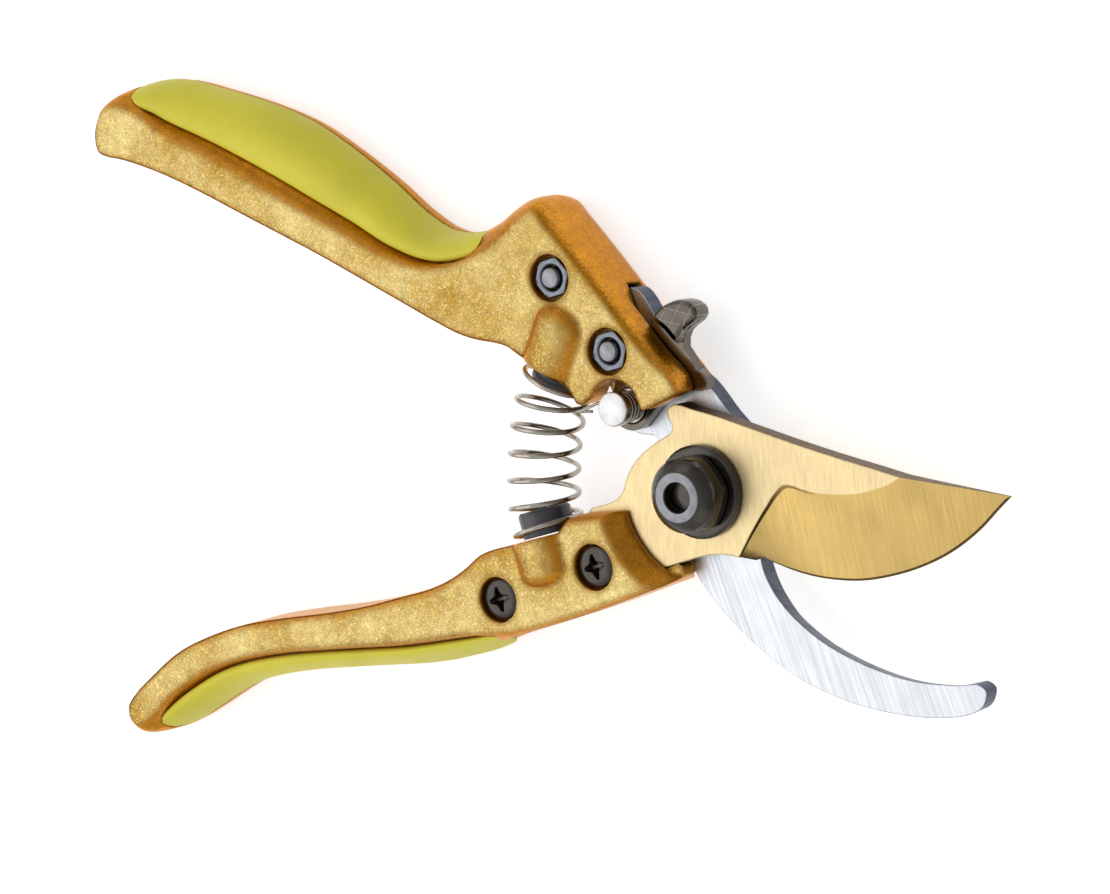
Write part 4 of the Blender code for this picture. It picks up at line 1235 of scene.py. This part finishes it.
@dataclass
class CuttingBlade:
    """The ground blade: a flat plate with one bevel that runs down to its edge."""

    SPINE = (
        (34.5, 7.9), (26.5, 9.2), (20.4, 10.3), (12.2, 11.95), (8.0, 12.8), (3.8, 13.65),
        (-0.5, 14.35), (-2.6, 14.65), (-4.8, 15.1), (-6.5, 15.0), (-7.4, 14.3), (-7.6, 13.4),
        (-7.3, 12.4), (-6.5, 11.5), (-6.4, 10.6), (-7.0, 9.7), (-9.1, 8.4), (-11.2, 6.9),
        (-13.4, 5.0), (-15.6, 2.2), (-16.5, 0.2), (-17.3, -2.2), (-18.2, -3.3), (-20.4, -4.5),
        (-24.1, -5.8))
    TAIL = (
        (-27.0, -9.2), (-33.0, -15.6), (-40.0, -19.6), (-46.0, -21.6), (-47.8, -25.0),
        (-45.5, -28.2), (-36.0, -26.0), (-24.0, -21.6), (-14.0, -17.6))
    HEEL = (
        (-7.4, -14.75), (-4.5, -13.6), (-2.4, -12.8), (-0.2, -12.0), (1.9, -11.4), (4.0, -11.0),
        (6.2, -10.9))
    EDGE = (
        (9.6, -11.9), (10.9, -11.4), (13.5, -11.9), (17.7, -12.8), (22.9, -13.35), (26.9, -13.3),
        (31.5, -12.8), (36.9, -11.4), (42.8, -9.1), (48.6, -5.8), (54.2, -1.1), (57.8, 3.0),
        (59.9, 5.3))
    BEVEL = (
        (8.0, -11.1), (10.3, -6.7), (13.4, -1.5), (15.6, 1.7), (16.9, 2.9), (18.5, 3.1),
        (20.5, 2.7), (23.6, 2.35), (26.6, 2.4), (29.6, 2.7), (32.6, 3.3), (35.6, 4.3),
        (38.5, 5.6), (40.4, 6.9))
    POINT = ((44.9, 6.5), (49.9, 6.1), (54.9, 5.7), (59.9, 5.3))

    edge_thickness: float = 0.35
    # The width of the strip along the cutting edge that is painted dark, as shade.
    shaded_edge_width: float = 0.45
    # The grinding wheel's plunge: its depth, and where along the bevel it fades out.
    plunge: float = 0.5
    plunge_end: float = 24.0
    plunge_fade: float = 9.0
    hollow: float = 1.6
    columns: int = 90
    rows: int = 9

    def borders(self) -> tuple[np.ndarray, np.ndarray, int]:
        """Lay as many points along the bevel's start as along the cutting edge.

        Returns:
            The start's points, the edge's, and which of them is the spine's corner.
        """
        fall = (CUT_FRONT - CUT_BACK - self.edge_thickness) / len(self.POINT)
        corner = round(self.columns * 0.68)
        sloping = [(*p, CUT_FRONT - fall * k)
                   for k, p in enumerate((self.BEVEL[-1], *self.POINT))]
        line = np.concatenate([
            resampled([(*p, CUT_FRONT) for p in self.BEVEL], corner + 1),
            resampled(sloping, self.columns - corner)[1:]])
        edge = resampled([(*p, CUT_BACK + self.edge_thickness) for p in self.EDGE], self.columns)
        return line, edge, corner

    def build(self) -> None:
        """Make the blade and let it ride."""
        line, edge, corner = self.borders()
        flat, bevel, shaded_edge = range(3)
        points, faces, marks = [], [], []
        widths = np.linalg.norm(edge - line, axis=1)
        # From here to the edge the bevel takes the painted shade.
        shade_start = 1 - np.minimum(self.shaded_edge_width / np.maximum(widths, 1e-6), 0.5)
        depth = self.plunge * np.clip((self.plunge_end - line[:, 0]) / self.plunge_fade, 0.0, 1.0)
        for k in range(self.rows + 1):
            share = min(k / (self.rows - 1), 1.0) ** self.hollow
            t = shade_start * share if k < self.rows else np.ones(self.columns)
            row = line * (1 - t[:, None]) + edge * t[:, None]
            if 0 < k < self.rows:
                row[:, 2] = np.maximum(row[:, 2] - depth * (1 - share), edge[:, 2])
            points += [tuple(p) for p in row]
        for k in range(self.rows):
            for a in range(k * self.columns, (k + 1) * self.columns - 1):
                faces.append([a, a + 1, a + 1 + self.columns, a + self.columns])
                marks.append(shaded_edge if k == self.rows - 1 else bevel)
        rest = [*curve_through(self.SPINE, 1.0), *self.TAIL, *self.HEEL]
        start = len(points)
        points += [(*p[:2], CUT_FRONT) for p in rest]
        rest = list(range(start, len(points)))
        faces.append([*range(corner + 1), *rest])
        marks.append(flat)
        low_row = self.rows * self.columns
        rim = [*range(0, low_row, self.columns), *range(low_row, low_row + self.columns),
               *range(self.columns - 2, corner - 1, -1), *rest]
        below, size = len(points), len(rim)
        points += [(*points[i][:2], CUT_BACK) for i in rim]
        for k in range(size):
            j = (k + 1) % size
            faces.append([rim[k], rim[j], below + j, below + k])
            marks.append(shaded_edge if self.rows <= k < self.rows + self.columns - 1 else flat)
        faces.append([*range(below + size - 1, below - 1, -1)])
        marks.append(flat)
        blade = mesh_object("cutting_blade_ground", points, faces,
                            [COATED_FLAT, COATED_BEVEL, EDGE_SHADE], marks, 5.0)
        holes = {"pivot": (PIVOT, PIVOT_HOLE)}
        holes.update({place: (centre, BOLT_HOLE) for place, centre in LOWER_SCREWS.items()})
        carve(blade, [bored(f"{name}_hole", *hole, CUT_BACK - OUT, CUT_FRONT + OUT)
                      for name, hole in holes.items()], sharp=5.0)
        settle(blade, Body.BLADE_SIDE, Slot.COATING, "cutting_blade")


@dataclass
class HookBlade:
    """The fixed hook with its tang."""

    outline: tuple[Plan, ...] = (
        (-6.6, -12.2), (-4.9, -14.4), (-2.7, -17.4), (-0.1, -20.2), (2.7, -22.8), (6.0, -25.4),
        (10.3, -28.3), (14.5, -30.6), (18.8, -32.5), (22.9, -33.8), (31.1, -35.4), (39.2, -35.8),
        (47.1, -35.1), (53.0, -33.5), (54.9, -32.3), (55.8, -30.4), (55.8, -29.0), (54.8, -28.3),
        (50.6, -28.8), (46.8, -29.2), (42.8, -29.4), (38.9, -29.2), (34.9, -28.6), (28.8, -27.1),
        (23.6, -25.2), (19.5, -23.0), (15.2, -19.8), (12.5, -16.8), (10.7, -13.6), (9.8, -9.5),
        (10.0, -3.0), (10.4, 3.0), (8.6, 8.6), (3.0, 14.2), (-2.0, 19.2), (-4.4, 20.8),
        (-10.5, 26.8), (-18.6, 34.9), (-21.0, 33.9), (-26.9, 39.6), (-31.3, 43.1), (-36.6, 38.2),
        (-36.0, 36.2), (-26.0, 25.0), (-22.0, 17.2), (-21.9, 13.0), (-19.6, 9.4), (-16.0, 8.3),
        (-12.6, 8.0), (-12.4, 5.4), (-13.5, 0.6), (-12.9, -4.2), (-10.4, -8.7))
    # (height, inset of the edge, inset where the inner edge is relieved), back to front.
    levels: tuple[Point, ...] = (
        (HOOK_BACK, 0.15, 0.9), (HOOK_BACK + 0.2, 0.0, 0.8), (HOOK_FRONT - 0.12, 0.0, 0.0),
        (HOOK_FRONT, 0.12, 0.12))

    def build(self) -> None:
        """Make the hook and let it ride."""
        outline = [tuple(p) for p in curve_through(self.outline, 0.8, closed=True)]
        edge = [(p, n, self.relieved(p, n)) for p, n in zip(outline, outward_normals(outline))]
        loops = []
        for height, plain, relief in self.levels:
            loops.append([(p[0] - n[0] * inset, p[1] - n[1] * inset, height)
                          for p, n, share in edge
                          for inset in [plain + (relief - plain) * share]])
        hook = rings("hook_blade_ground", loops, [HOOK_STEEL])
        holes = {"pivot": (PIVOT, PIVOT_HOLE), "pin": (LOCK_PIN, LOCK_PIN_RADIUS + GAP)}
        holes.update({place: (centre, BOLT_HOLE) for place, centre in UPPER_BOLTS.items()})
        carve(hook, [bored(f"{name}_hole", *hole, HOOK_BACK - OUT, HOOK_FRONT + OUT)
                     for name, hole in holes.items()])
        settle(hook, Body.HOOK_SIDE, Slot.STEEL, "hook_blade")

    @staticmethod
    def relieved(point: Sequence[float], normal: Sequence[float]) -> float:
        """Tell how far the inner edge is relieved at an outline point.

        Args:
            point: the point.
            normal: its outward normal.

        Returns:
            The share, from 0 to 1.
        """
        if point[1] > -13.0 or normal[1] <= 0.0:
            return 0.0
        return float(np.interp(point[0], [11.0, 17.0, 51.0, 54.0], [0.0, 1.0, 1.0, 0.0]))


# ------------------------------------------------------------------ lock

@dataclass
class Lock:
    """The thumb lock: lever, pin and torsion spring."""

    nose: tuple[Plan, ...] = (
        (-12.2, 11.7), (-9.5, 13.9), (-7.2, 15.4), (-4.9, 16.1), (-3.3, 15.9), (-2.5, 15.2),
        (-0.4, 15.1), (0.6, 15.3), (1.0, 17.4), (-0.6, 18.8))
    top: tuple[Plan, ...] = (
        (-2.4, 21.5), (-3.4, 23.6), (-4.9, 25.4), (-4.9, 27.0), (-4.3, 28.4), (-3.2, 29.4),
        (-1.8, 30.4), (-1.1, 31.5), (-1.3, 32.6), (-2.4, 33.5), (-4.6, 34.0), (-7.4, 33.2),
        (-9.4, 31.9), (-11.8, 29.6), (-13.6, 25.6), (-15.4, 21.2), (-19.6, 18.0))
    pad: tuple[Plan, ...] = (
        (-5.1, 26.4), (-4.9, 27.1), (-4.3, 28.5), (-3.2, 29.5), (-1.8, 30.5), (-1.0, 31.6),
        (-1.2, 32.7), (-2.3, 33.6), (-4.6, 34.1), (-7.4, 33.3), (-9.4, 32.0), (-10.6, 30.4),
        (-7.8, 28.2))
    # The spring's leg round the handle's tip.
    leg: tuple[Point, ...] = (
        (-20.9, 14.3, 6.3), (-24.6, 12.5, 6.3), (-25.7, 12.1, 6.2), (-26.15, 12.0, 5.9),
        (-26.3, 12.0, 5.5), (-26.15, 12.05, 5.1), (-25.7, 12.1, 4.8), (-24.4, 12.2, 4.7),
        (-23.4, 12.3, 4.7))
    wire: float = 0.55
    coil_radius: float = 2.75
    coil_low: float = 3.2
    coil_high: float = 6.2
    turns: float = 3.0

    def build(self, wires: WireTree) -> None:
        """Make the lock's pieces and let them ride.

        Args:
            wires: the tree that draws round wire.
        """
        eye = circle(LOCK_PIN, 4.6, 13, 175.0, 125.0)
        nose = [turned_point(p, LOCK_PIN, LOCK_THROW) for p in self.nose]
        chromes = [LEVER_CHROME, PAD_CHROME]
        lever = plate("lock_lever_pressing", [*nose, *self.top, *eye], 0.3, 2.5, chromes)
        pad = plate("thumb_pad", curve_through(self.pad, 0.6, closed=True), -0.2, 4.6, chromes, 1.0)
        for face in pad.data.polygons:
            face.material_index = chromes.index(PAD_CHROME)
        carve(lever, [pad], "UNION")
        carve(lever, [bored("pin_room", LOCK_PIN, LOCK_PIN_RADIUS + GAP, -1.0, 4.0)])
        settle(lever, Body.LOCK, Slot.BRIGHT, "lock_lever")
        pin = turned("lock_pin_turned", LOCK_PIN, [
            (LOCK_PIN_RADIUS, HOOK_BACK + 0.1), (LOCK_PIN_RADIUS, 2.7), (2.1, 2.8), (2.1, 6.7),
            (LOCK_PIN_RADIUS, 6.8), (LOCK_PIN_RADIUS, 8.1), (3.05, 8.3), (2.85, 8.4)],
            [PIN_STEEL])
        settle(pin, Body.HOOK_SIDE, Slot.BRIGHT, "lock_pin")
        coil = wires.draw("lock_spring_wire", self.spring_path(), self.wire)
        settle(coil, Body.HOOK_SIDE, Slot.BRIGHT, "lock_spring")

    def spring_path(self) -> list[Point]:
        """Wind the torsion spring round the pin and lead it to its leg.

        Returns:
            The wire's points.
        """
        steps = 120
        coil = circle(LOCK_PIN, self.coil_radius, steps + 1, 115.0 - 360.0 * self.turns,
                      360.0 * self.turns * (steps + 1) / steps)
        rise = (self.coil_high - self.coil_low) / steps
        return [(*p, self.coil_low + rise * k) for k, p in enumerate(coil)] + [*self.leg]


# ------------------------------------------------------------------ opening spring

@dataclass
class OpeningSpring:
    """The wound spring that opens the handles."""

    axis: tuple[Plan, ...] = (
        (-31.9, 18.0), (-32.95, 15.8), (-34.1, 12.0), (-35.0, 7.5), (-35.5, 2.5), (-35.6, -2.5),
        (-35.3, -7.0), (-34.75, -10.0), (-34.35, -11.2))
    upper_seat: Plan = (-31.6, 18.6)
    lower_seat: Plan = (-34.2, -11.8)
    wire: float = 1.0
    radius: float = 6.5
    turns: float = 6.67
    start: float = -36.0
    # The pitch of the half turns at both ends, against the rest.
    end_pitch: float = 0.54

    def build(self, wires: WireTree) -> None:
        """Wind the spring between its seats.

        Args:
            wires: the tree that draws round wire.
        """
        spring = wires.draw("opening_spring_wire", self.path(), self.wire, 18)
        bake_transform(spring)
        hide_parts("main_spring")
        LOG.info("%s: %d faces", spring.name, len(spring.data.polygons))

    def travel(self, share: float) -> float:
        """Tell how far along its axis the spring is, with flatter turns at both ends.

        Args:
            share: the share of all its turns.

        Returns:
            The share of its axis.
        """
        end = 0.5 / self.turns
        total = 1 - 2 * end + 2 * end * self.end_pitch
        if share < end:
            return share * self.end_pitch / total
        if share > 1 - end:
            return 1 - (1 - share) * self.end_pitch / total
        return (end * self.end_pitch + share - end) / total

    def path(self) -> list[np.ndarray]:
        """Wind the spring along its slightly bowed axis.

        Returns:
            The wire's points, with a short straight lead at both ends.
        """
        last, reach = 799, 16
        axis = resampled([(*p, SPRING_HEIGHT) for p in self.axis], last + 1)
        steps = round(self.turns * 40)
        path = []
        for k in range(steps + 1):
            share = k / steps
            spot = round(self.travel(share) * last)
            ahead = axis[min(spot + reach, last)] - axis[max(spot - reach, 0)]
            ahead = ahead / np.linalg.norm(ahead)
            side = np.array([-ahead[1], ahead[0], 0.0])
            angle = 2 * math.pi * self.turns * share + math.radians(self.start)
            out = side * math.cos(angle) + np.array([0.0, 0.0, 1.0]) * math.sin(angle)
            path.append(axis[spot] + out * self.radius)
        leads = [end + (end - inner) / np.linalg.norm(end - inner) * self.wire
                 for end, inner in ((path[0], path[1]), (path[-1], path[-2]))]
        return [leads[0], *path, leads[1]]


# ------------------------------------------------------------------ fasteners

@dataclass
class Fasteners:
    """The nuts, bolts and screws, the pivot's fittings and the spring's seats."""

    nut_top: float = 7.3
    nut_low: float = FRONT - 2.7
    bolt_end: float = 7.9
    shank: float = 1.9
    dome_radius: float = 3.95
    dome_height: float = 0.85
    dome_rim: float = FRONT - 1.15

    def build(self) -> None:
        """Make or dress each fastener."""
        for place, centre in UPPER_BOLTS.items():
            self.upper_nut(place, centre)
            self.upper_bolt(place, centre)
            dress_node(f"lower_nut_{place}", OXIDE)
        for place, centre in LOWER_SCREWS.items():
            self.lower_screw(place, centre)
        self.pivot_nut()
        for node, finish in (("pivot_bolt", OXIDE), ("pivot_bush", PIN_STEEL),
                             ("pivot_washer", OXIDE), ("upper_spring_seat", NYLON),
                             ("lower_spring_seat", NYLON)):
            dress_node(node, finish)

    @staticmethod
    def hexed(name: str, centre: Plan, profile: Line, finishes: Sequence[Finish], turn: float,
              softness: float, sides: int = 96) -> Item:
        """Make a hexagonal ring whose edges are turned off.

        Args:
            name: the object's name.
            centre: its axis in the plan.
            profile: (radius, height, across flats or 0 for round, finish) round its section.
            finishes: its finishes.
            turn: the direction of a flat's middle, in degrees.
            softness: how sharply the flats meet the turned surface.
            sides: how many points go round.

        Returns:
            The ring.
        """
        points = []
        for k in range(sides):
            angle = 2 * math.pi * k / sides
            off = (angle - math.radians(turn) + math.pi / 6) % (math.pi / 3) - math.pi / 6
            for radius, height, flats, _ in profile:
                reach = radius
                if flats:
                    flat = flats / 2 / math.cos(off)
                    reach = (radius ** -softness + flat ** -softness) ** (-1 / softness)
                points.append((centre[0] + reach * math.cos(angle),
                               centre[1] + reach * math.sin(angle), height))
        return mesh_object(name, points, bands(sides, len(profile), joined=True), finishes,
                           [int(row[3]) for row in profile] * sides, 40.0)

    def upper_nut(self, place: str, centre: Plan) -> None:
        """Make one chamfered hex nut in the upper handle.

        Args:
            place: which of the two it is.
            centre: its axis in the plan.
        """
        top, low = self.nut_top, self.nut_low
        nut = self.hexed(f"upper_nut_{place}_chamfered", centre, [
            (4.04, low, 7.0, 0), (4.04, top - 0.4, 7.0, 0), (3.9, top - 0.15, 6.9, 0),
            (3.65, top, 6.6, 0), (2.65, top, 0, 0), (2.4, top - 0.25, 0, 0), (2.3, low, 0, 0)],
            [NUT_STEEL], 48.0, 60.0)
        settle(nut, Body.HOOK_SIDE, Slot.STEEL, f"upper_nut_{place}")

    def upper_bolt(self, place: str, centre: Plan) -> None:
        """Make one bolt, whose cropped end stands just proud of its nut.

        Args:
            place: which of the two it is.
            centre: its axis in the plan.
        """
        head_top = BACK + 2.0 - GAP
        bolt = turned(f"upper_bolt_{place}_turned", centre, [
            (3.5, BACK + 0.3), (3.85, BACK + 0.45), (4.0, BACK + 0.8), (4.0, head_top),
            (self.shank, head_top), (self.shank, self.bolt_end - 0.35),
            (1.78, self.bolt_end - 0.1), (1.6, self.bolt_end)], [BOLT_END])
        settle(bolt, Body.HOOK_SIDE, Slot.OXIDE, f"upper_bolt_{place}")

    def lower_screw(self, place: str, centre: Plan) -> None:
        """Make one domed screw with its cross recess.

        Args:
            place: which of the two it is.
            centre: its axis in the plan.
        """
        low, rim = self.nut_low, self.dome_rim
        dome = [(self.dome_radius * math.cos(t), rim + self.dome_height * math.sin(t))
                for t in (math.pi / 2 * k / 9 for k in range(9))]
        screw = turned(f"lower_screw_{place}_domed", centre, [
            (self.shank, BACK + 0.3), (self.shank, low), (3.8, low),
            (self.dome_radius, low + 0.15), *dome, (0.3, rim + self.dome_height)], [OXIDE])
        arms = []
        for turn in (20.0, 110.0):
            loops = []
            for half, height in ((0.3, rim - 1.0), (0.75, rim + 0.45), (1.05, rim + 1.1)):
                reach = 2.1 + (height - rim) * 0.5
                arm = [(reach, 0.28), (0.7, half), (-0.7, half), (-reach, 0.28)]
                arm += [(-x, -y) for x, y in arm]
                loops.append([(*turned_point((centre[0] + x, centre[1] + y), centre, turn), height)
                              for x, y in arm])
            arms.append(rings(f"{place}_arm_{turn:.0f}", loops))
        carve(screw, arms, sharp=25.0)
        settle(screw, Body.BLADE_SIDE, Slot.OXIDE, f"lower_screw_{place}")

    def pivot_nut(self) -> None:
        """Make the pivot's domed lock nut with its turned face."""
        nut = self.hexed("pivot_nut_domed", PIVOT, [
            (4.2, 5.85, 0, 0), (7.1, 5.85, 14.3, 0), (7.4, 6.1, 14.4, 0), (7.4, 7.6, 14.4, 0),
            (7.3, 8.4, 14.4, 0), (7.05, 9.2, 14.3, 0), (6.7, 9.95, 0, 0), (6.2, 10.55, 0, 0),
            (5.65, 11.05, 0, 0), (5.15, 11.45, 0, 0), (4.75, 11.72, 0, 0), (4.45, 11.85, 0, 1),
            (2.85, 11.87, 0, 0), (2.6, 11.6, 0, 0), (2.5, 10.2, 0, 0), (4.2, 9.9, 0, 0)],
            [OXIDE, NUT_FACE], 42.0, 9.0)
        settle(nut, Body.HOOK_SIDE, Slot.OXIDE, "pivot_nut")


# ------------------------------------------------------------------ studio

@dataclass
class Lamp:
    """A soft rectangular lamp, by its direction from the tool, distance, size and brightness."""

    name: str
    direction: Point
    distance: float
    size: float
    brightness: float


@dataclass
class Studio:
    """The floor, the lamps, the walls and the photograph's camera."""

    camera_at: Point = (290.99, 98.86, 450.36)
    looking_at: Point = (-35.30, 3.88, 7.5)
    focal_pixels: float = 3000.0
    picture_width: float = 1110.0
    sensor: float = 36.0
    lit_centre: Point = (-0.04, 0.0, 0.0)
    lamps: tuple[Lamp, ...] = (
        Lamp("key_softbox", (-0.62, -0.10, 0.78), 0.9, 0.95, 0.80),
        Lamp("fill_softbox", (0.45, -0.75, 0.55), 1.1, 0.7, 0.35),
        Lamp("top_strip", (-0.35, 0.80, 0.50), 1.0, 0.5, 0.6))
    floor_reach: float = 4.0
    floor_level: float = -0.0003
    # How brightly the floor shows to the camera and in the metal, above its lit paper.
    floor_glow: float = 0.6
    bright_wall: Point = (-0.62, -0.30, 0.72)
    wall_light: Plan = (0.28, 0.78)

    def build(self) -> None:
        """Set everything up."""
        bpy.context.scene.view_settings.view_transform = "Standard"
        self.set_camera()
        for lamp in self.lamps:
            self.hang(lamp)
        self.lay_floor()
        self.paint_walls()

    def set_camera(self) -> None:
        """Stand the camera where the photograph was taken, with +Y upright in the picture."""
        data = bpy.data.cameras.new("camera")
        data.sensor_width = self.sensor
        data.lens = self.focal_pixels / self.picture_width * self.sensor
        data.clip_start, data.clip_end = 0.01, 20.0
        place = Vector(self.camera_at) * MM
        back = (place - Vector(self.looking_at) * MM).normalized()
        right = Vector((0.0, 1.0, 0.0)).cross(back).normalized()
        turn = Matrix((right, back.cross(right), back)).transposed().to_4x4()
        camera = hung("camera", data)
        camera.matrix_world = Matrix.Translation(place) @ turn
        bpy.context.scene.camera = camera

    def hang(self, lamp: Lamp) -> None:
        """Hang one lamp, facing the tool.

        Args:
            lamp: its place, size and brightness.
        """
        data = bpy.data.lights.new(lamp.name, "AREA")
        data.size = lamp.size
        data.energy = lamp.brightness * math.pi * lamp.size ** 2
        item = hung(lamp.name, data)
        direction = Vector(lamp.direction).normalized()
        item.location = Vector(self.lit_centre) + direction * lamp.distance
        item.rotation_mode = "QUATERNION"
        item.rotation_quaternion = direction.to_track_quat("Z", "Y")

    def lay_floor(self) -> None:
        """Lay the pale floor, which keeps the tool's shadow and reads as white."""
        mesh = bpy.data.meshes.new("floor")
        mesh.from_pydata([(x * self.floor_reach, y * self.floor_reach, self.floor_level)
                          for x, y in ((-1, -1), (1, -1), (1, 1), (-1, 1))], [], [(0, 1, 2, 3)])
        made = bpy.data.materials.new("white_paper_sweep")
        made.use_nodes = True
        sheet = Sheet(made.node_tree)
        rays = sheet.add("ShaderNodeLightPath").outputs
        seen = rays["Is Camera Ray"]
        for kind in ("Is Glossy Ray", "Is Transmission Ray"):
            seen = sheet.add("ShaderNodeMath", {0: seen, 1: rays[kind]},
                             operation="MAXIMUM").outputs[0]
        shown = sheet.add("ShaderNodeMath", {0: seen, 1: self.floor_glow}, operation="MULTIPLY")
        paper = sheet.add("ShaderNodeBsdfDiffuse", {"Color": linear("#E9E9E9")})
        glow = sheet.add("ShaderNodeEmission", {
            "Color": linear("#FFFFFF"), "Strength": shown.outputs[0]})
        both = sheet.add("ShaderNodeAddShader", {0: paper.outputs[0], 1: glow.outputs[0]})
        sheet.add("ShaderNodeOutputMaterial", {"Surface": both.outputs[0]})
        mesh.materials.append(made)
        hung("floor", mesh)

    def paint_walls(self) -> None:
        """Light the tool from all round, more from the key lamp's side."""
        world = bpy.data.worlds.new("studio_walls")
        world.use_nodes = True
        sheet = Sheet(world.node_tree)
        spot = sheet.add("ShaderNodeTexCoord")
        toward = sheet.add("ShaderNodeVectorMath", {
            0: spot.outputs["Generated"], 1: self.bright_wall}, operation="DOT_PRODUCT")
        walls = sheet.add("ShaderNodeMapRange", {
            "Value": toward.outputs["Value"], "From Min": -0.35, "From Max": 0.9,
            "To Min": self.wall_light[0], "To Max": self.wall_light[1]},
            interpolation_type="SMOOTHSTEP")
        light = sheet.add("ShaderNodeBackground", {
            "Color": linear("#FFFFFF"), "Strength": walls.outputs[0]})
        sheet.add("ShaderNodeOutputWorld", {"Surface": light.outputs[0]})
        bpy.context.scene.world = world


def main() -> None:
    """Build the pruner piece by piece, then the studio round it."""
    logging.basicConfig(level=logging.INFO, format="%(name)s: %(message)s")
    wires = WireTree()
    UpperHandle("upper_handle", Body.HOOK_SIDE, UPPER_CONTROLS, "upper_grip", (-138.0, -48.5),
                ((-31.5, 18.9), (-0.433, -0.901)), ((-31.8, 19.5), (-0.36, -0.933)), 12.5,
                UPPER_BOLTS).build()
    LowerHandle("lower_handle", Body.BLADE_SIDE, LOWER_CONTROLS, "lower_grip", (-131.8, -43.5),
                ((-34.1, -12.2), (-0.319, 0.948)), ((-34.1, -12.2), (-0.319, 0.948)), 9.0,
                LOWER_SCREWS, ((-132.0, 0.0), (-108.0, 0.0), (-86.0, 0.7), (-60.0, 1.1),
                               (-44.0, 0.7))).build()
    CuttingBlade().build()
    HookBlade().build()
    Lock().build(wires)
    OpeningSpring().build(wires)
    Fasteners().build()
    Studio().build()


if __name__ == "__main__":
    main()
